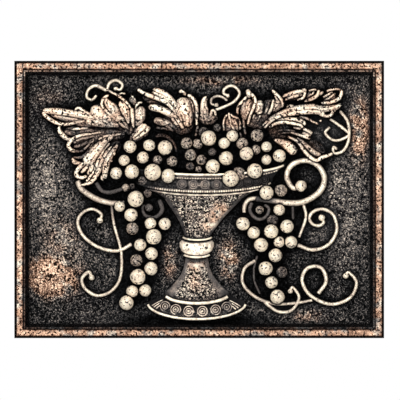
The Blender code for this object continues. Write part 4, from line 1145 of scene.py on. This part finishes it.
def finish_and_light_relief(relief, forms, heights, tint, edge, uneven):
    """Stores the finish of a relief piece's points, from the nearest form and from what they see, with a
    painted highlight on the forward faces and painted shade where little sky is seen.

    The tint is a share of copper, edge is how much painted light brightens the sides against the front, and
    uneven is the strength of the mottling.
    """
    mesh = relief.data
    points = read_vectors(mesh.vertices, "co") / MM
    forward = -read_vectors(mesh.vertex_normals, "vector")[:, 1]
    sources = np.vstack(forms.points)
    tree = KDTree(len(sources))
    for index, source in enumerate(sources):
        tree.insert(source, index)
    tree.balance()
    near = np.array([tree.find(Vector(point * MM))[1] for point in points])
    shine = np.concatenate(forms.shine)[near]
    speckle = np.concatenate(forms.speckle)[near]

    places = points[:, [0, 2]]
    # Painted highlight on forward faces and painted shade, with dark patina, where little sky is seen, with
    # the rubbing
    seen = smoothstep(*RELIEF_SKY, heights.openness(points))
    shine *= smoothstep(*RELIEF_FACING, forward) * at_least(UNSEEN_SHINE, seen)
    # Painted light: the sides are lit up against the front by the edge share
    shine *= 1 - 0.5 * edge + edge * (1 - forward).clip(0, 1)
    shine *= RELIEF_LEVEL + uneven * (value_noise(places, cell=2.8, seed=55) - 0.5)
    # Darker in creases between higher parts: dark patina and painted shade
    shine *= 1 - CREVICE_LOSS * crevice(heights, points)
    store(mesh, "shine", shine)

    blush = smoothstep(*BLUSH_RANGE, value_noise(places, cell=16.0, seed=51))
    worn = patches(places, URN_PATCHES) * (speckle > PATCH_SPECKLE)
    store(mesh, "copper", np.clip(tint * (1 + BLUSH * blush) + worn, 0, 1))
    speckle = speckle * at_least(UNSEEN_SPECKLE, seen)
    store(mesh, "speckle", speckle)
    store(mesh, "pitting", speckle.clip(0, PITTING_MOST))


class Shader:
    """Short calls that build a material's nodes."""

    def __init__(self, name):
        self.material = bpy.data.materials.new(name)
        self.material.use_nodes = True
        self.nodes = self.material.node_tree.nodes
        self.links = self.material.node_tree.links
        self.surface = self.nodes["Principled BSDF"]

    def put(self, socket, value):
        if isinstance(value, bpy.types.NodeSocket):
            self.links.new(value, socket)
        else:
            socket.default_value = value

    def math(self, operation, *values, clamp=False):
        node = self.nodes.new("ShaderNodeMath")
        node.operation = operation
        node.use_clamp = clamp
        for socket, value in zip(node.inputs, values):
            self.put(socket, value)
        return node.outputs[0]

    def attribute(self, name):
        node = self.nodes.new("ShaderNodeAttribute")
        node.attribute_name = name
        return node.outputs["Fac"]

    def noise(self, place, scale, detail=2.0, roughness=0.5):
        node = self.nodes.new("ShaderNodeTexNoise")
        self.put(node.inputs["Vector"], place)
        node.inputs["Scale"].default_value = scale
        node.inputs["Detail"].default_value = detail
        node.inputs["Roughness"].default_value = roughness
        return node.outputs["Fac"]

    def steps(self, value, low_edge, high_edge, low_value=0.0, high_value=1.0):
        node = self.nodes.new("ShaderNodeMapRange")
        node.interpolation_type = "SMOOTHSTEP"
        self.put(node.inputs["Value"], value)
        for name, number in (("From Min", low_edge), ("From Max", high_edge), ("To Min", low_value),
                             ("To Max", high_value)):
            node.inputs[name].default_value = number
        return node.outputs["Result"]

    def ramp(self, value, stops):
        node = self.nodes.new("ShaderNodeValToRGB")
        self.put(node.inputs["Fac"], value)
        elements = node.color_ramp.elements
        while len(elements) < len(stops):
            elements.new(0.5)
        for element, (position, colour) in zip(elements, stops):
            element.position = position
            element.color = (*colour, 1)
        return node.outputs["Color"]

    def mix(self, share, first, second):
        node = self.nodes.new("ShaderNodeMix")
        node.data_type = "RGBA"
        self.put(node.inputs["Factor"], share)
        self.put(node.inputs[6], first)
        self.put(node.inputs[7], second)
        return node.outputs[2]


def aged_copper():
    """Dark finish rubbed through to pale copper, by the shine of the mesh broken up with specks and pits.

    The shine holds painted highlights and painted shade along with the rubbing.
    """
    shader = Shader("aged_copper")
    place = shader.nodes.new("ShaderNodeTexCoord").outputs["Object"]
    speckle = shader.attribute("speckle")

    def product(first, second, **options):
        return shader.math("MULTIPLY", first, second, **options)

    def less(first, second):
        return shader.math("SUBTRACT", first, second)

    fine, coarse = (
        shader.steps(shader.noise(place, scale, roughness=GRAIN_ROUGHNESS), dark, bright)
        for scale, dark, bright in (FINE_GRAIN, COARSE_GRAIN)
    )
    grain = shader.math("ADD", product(fine, FINE_SHARE), product(coarse, 1 - FINE_SHARE))
    # Brightness: the rubbed finish with its painted highlights and painted shade, and the grain
    rubbed_and_painted_light = shader.math("ADD", shader.attribute("shine"), product(less(grain, GRAIN_LEVEL), speckle))

    scale, deep, level = PITS
    denser = product(shader.attribute("pitting"), PITTING_REACH)
    hollow = less(shader.noise(place, scale, detail=1.0), denser)
    pits = shader.steps(hollow, deep, level)
    pitted = product(less(1.0, pits), product(speckle, PIT_SPECKLE, clamp=True))
    rubbed_and_painted_light = product(rubbed_and_painted_light, less(1.0, product(pitted, PIT_DARKNESS)), clamp=True)

    scale, pale, copper = BLOTCHES
    patchy = shader.steps(shader.noise(place, scale), pale, copper)
    tinted = product(shader.attribute("copper"), patchy, clamp=True)
    colour = shader.mix(tinted, shader.ramp(rubbed_and_painted_light, PALE_METAL), shader.ramp(rubbed_and_painted_light, RED_METAL))
    inputs = shader.surface.inputs
    shader.put(inputs["Base Color"], colour)
    shader.put(inputs["Metallic"], shader.steps(rubbed_and_painted_light, *METALLIC))
    shader.put(inputs["Roughness"], shader.steps(rubbed_and_painted_light, *ROUGHNESS))
    inputs["Specular IOR Level"].default_value = 0.0
    bump = shader.nodes.new("ShaderNodeBump")
    bump.inputs["Strength"].default_value = BUMP_STRENGTH
    bump.inputs["Distance"].default_value = BUMP_DISTANCE
    shader.put(bump.inputs["Height"], product(grain, pits))
    shader.put(inputs["Normal"], bump.outputs["Normal"])
    return shader.material


def plain(name, colour, roughness):
    shader = Shader(name)
    shader.surface.inputs["Base Color"].default_value = (*colour, 1)
    shader.surface.inputs["Roughness"].default_value = roughness
    return shader.material


def make_stage():
    """A pale floor under the hung plaque."""
    bpy.ops.mesh.primitive_plane_add(size=FLOOR_SIZE, location=(0, 0, FLOOR_HEIGHT))
    floor = bpy.context.object
    floor.name = "floor"
    floor.data.materials.append(plain("pale_floor", FLOOR_COLOUR, roughness=0.8))


def add_light(name, place, size, power):
    light = bpy.data.lights.new(name, "AREA")
    light.shape = "RECTANGLE"
    light.size, light.size_y = size
    light.energy = power
    lamp = bpy.data.objects.new(name, light)
    lamp.location = place
    lamp.rotation_euler = (-Vector(place)).to_track_quat("-Z", "Y").to_euler()
    bpy.context.scene.collection.objects.link(lamp)


def light_scene():
    world = bpy.data.worlds.new("studio")
    bpy.context.scene.world = world
    world.use_nodes = True
    nodes, links = world.node_tree.nodes, world.node_tree.links
    path = nodes.new("ShaderNodeLightPath")
    mix = nodes.new("ShaderNodeMix")
    mix.data_type = "RGBA"
    links.new(path.outputs["Is Camera Ray"], mix.inputs["Factor"])
    mix.inputs[6].default_value = (SKY_GREY, SKY_GREY, SKY_GREY, 1)
    mix.inputs[7].default_value = (1, 1, 1, 1)
    links.new(mix.outputs[2], nodes["Background"].inputs["Color"])
    for light in LIGHTS:
        add_light(*light)
    bpy.context.scene.view_settings.view_transform = "Standard"


def add_camera():
    """A camera square on to the plaque, with the photograph's frame."""
    pixel = WIDTH / PLAQUE_PIXELS * MM
    data = bpy.data.cameras.new("camera")
    data.sensor_fit = "HORIZONTAL"
    data.sensor_width = SENSOR_WIDTH
    data.lens = SENSOR_WIDTH * CAMERA_AWAY / (PICTURE * pixel)
    data.clip_end = 20
    camera = bpy.data.objects.new("camera", data)
    aside, down = ((PICTURE / 2 - middle) * pixel for middle in MIDDLE_PIXEL)
    camera.location = (aside, -CAMERA_AWAY - RIM * MM, -down)
    camera.rotation_euler = (math.pi / 2, 0, 0)
    bpy.context.scene.collection.objects.link(camera)
    bpy.context.scene.camera = camera


def build_grapes():
    forms = Forms("plaque_grapes")
    ball = round_ball(GRAPE_FINENESS)
    for place, berries in BERRIES.items():
        for x, z, radius in berries:
            add_berry(forms, ball, x, z, radius, place, BERRY_SHINE[place], BERRY_SPECKLE[place])
    return forms


def build_leaves():
    forms = Forms("plaque_leaves")
    for lift, shine, places in LEAVES:
        add_ridge(forms, lift, shine, places)
    return forms


def build_urn():
    forms = Forms("plaque_urn")
    add_urn(forms)
    add_urn_lines(forms)
    add_ornaments(forms, round_ball(BALL_FINENESS))
    return forms


def build_tendrils():
    forms = Forms("plaque_tendrils")
    ball = round_ball(BALL_FINENESS)
    for start, end, end_ball, shine, places in STRANDS:
        add_strand(forms, ball, start, end, end_ball, shine, places)
    return forms


def main():
    add_camera()
    light_scene()
    make_stage()
    plate = make_plate()
    # Each relief's copper tint, the painted light on its sides (edge) and its mottling
    groups = [
        (build_urn(), {"tint": 0.1, "edge": 0, "uneven": 0.5}),
        (build_grapes(), {"tint": 0.16, "edge": 0.5, "uneven": 0.12}),
        (build_tendrils(), {"tint": 0.1, "edge": 0.25, "uneven": 0.3}),
        (build_leaves(), {"tint": 0.45, "edge": 0, "uneven": 0.3}),
    ]
    reliefs = [join_relief(forms) for forms, _ in groups]
    heights = HeightMap([plate, *reliefs])
    finish_and_shade_plate(plate, heights)
    for relief, (forms, finish_and_light) in zip(reliefs, groups):
        finish_and_light_relief(relief, forms, heights, **finish_and_light)
    material = aged_copper()
    for piece in (plate, *reliefs):
        piece.data.materials.clear()
        piece.data.materials.append(material)
        piece.data.shade_smooth()
        piece.data.set_sharp_from_angle(angle=math.radians(50))
        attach(piece, "root")
        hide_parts("plaque")
        print(piece.name, sum(len(face.vertices) - 2 for face in piece.data.polygons), "triangles")


main()
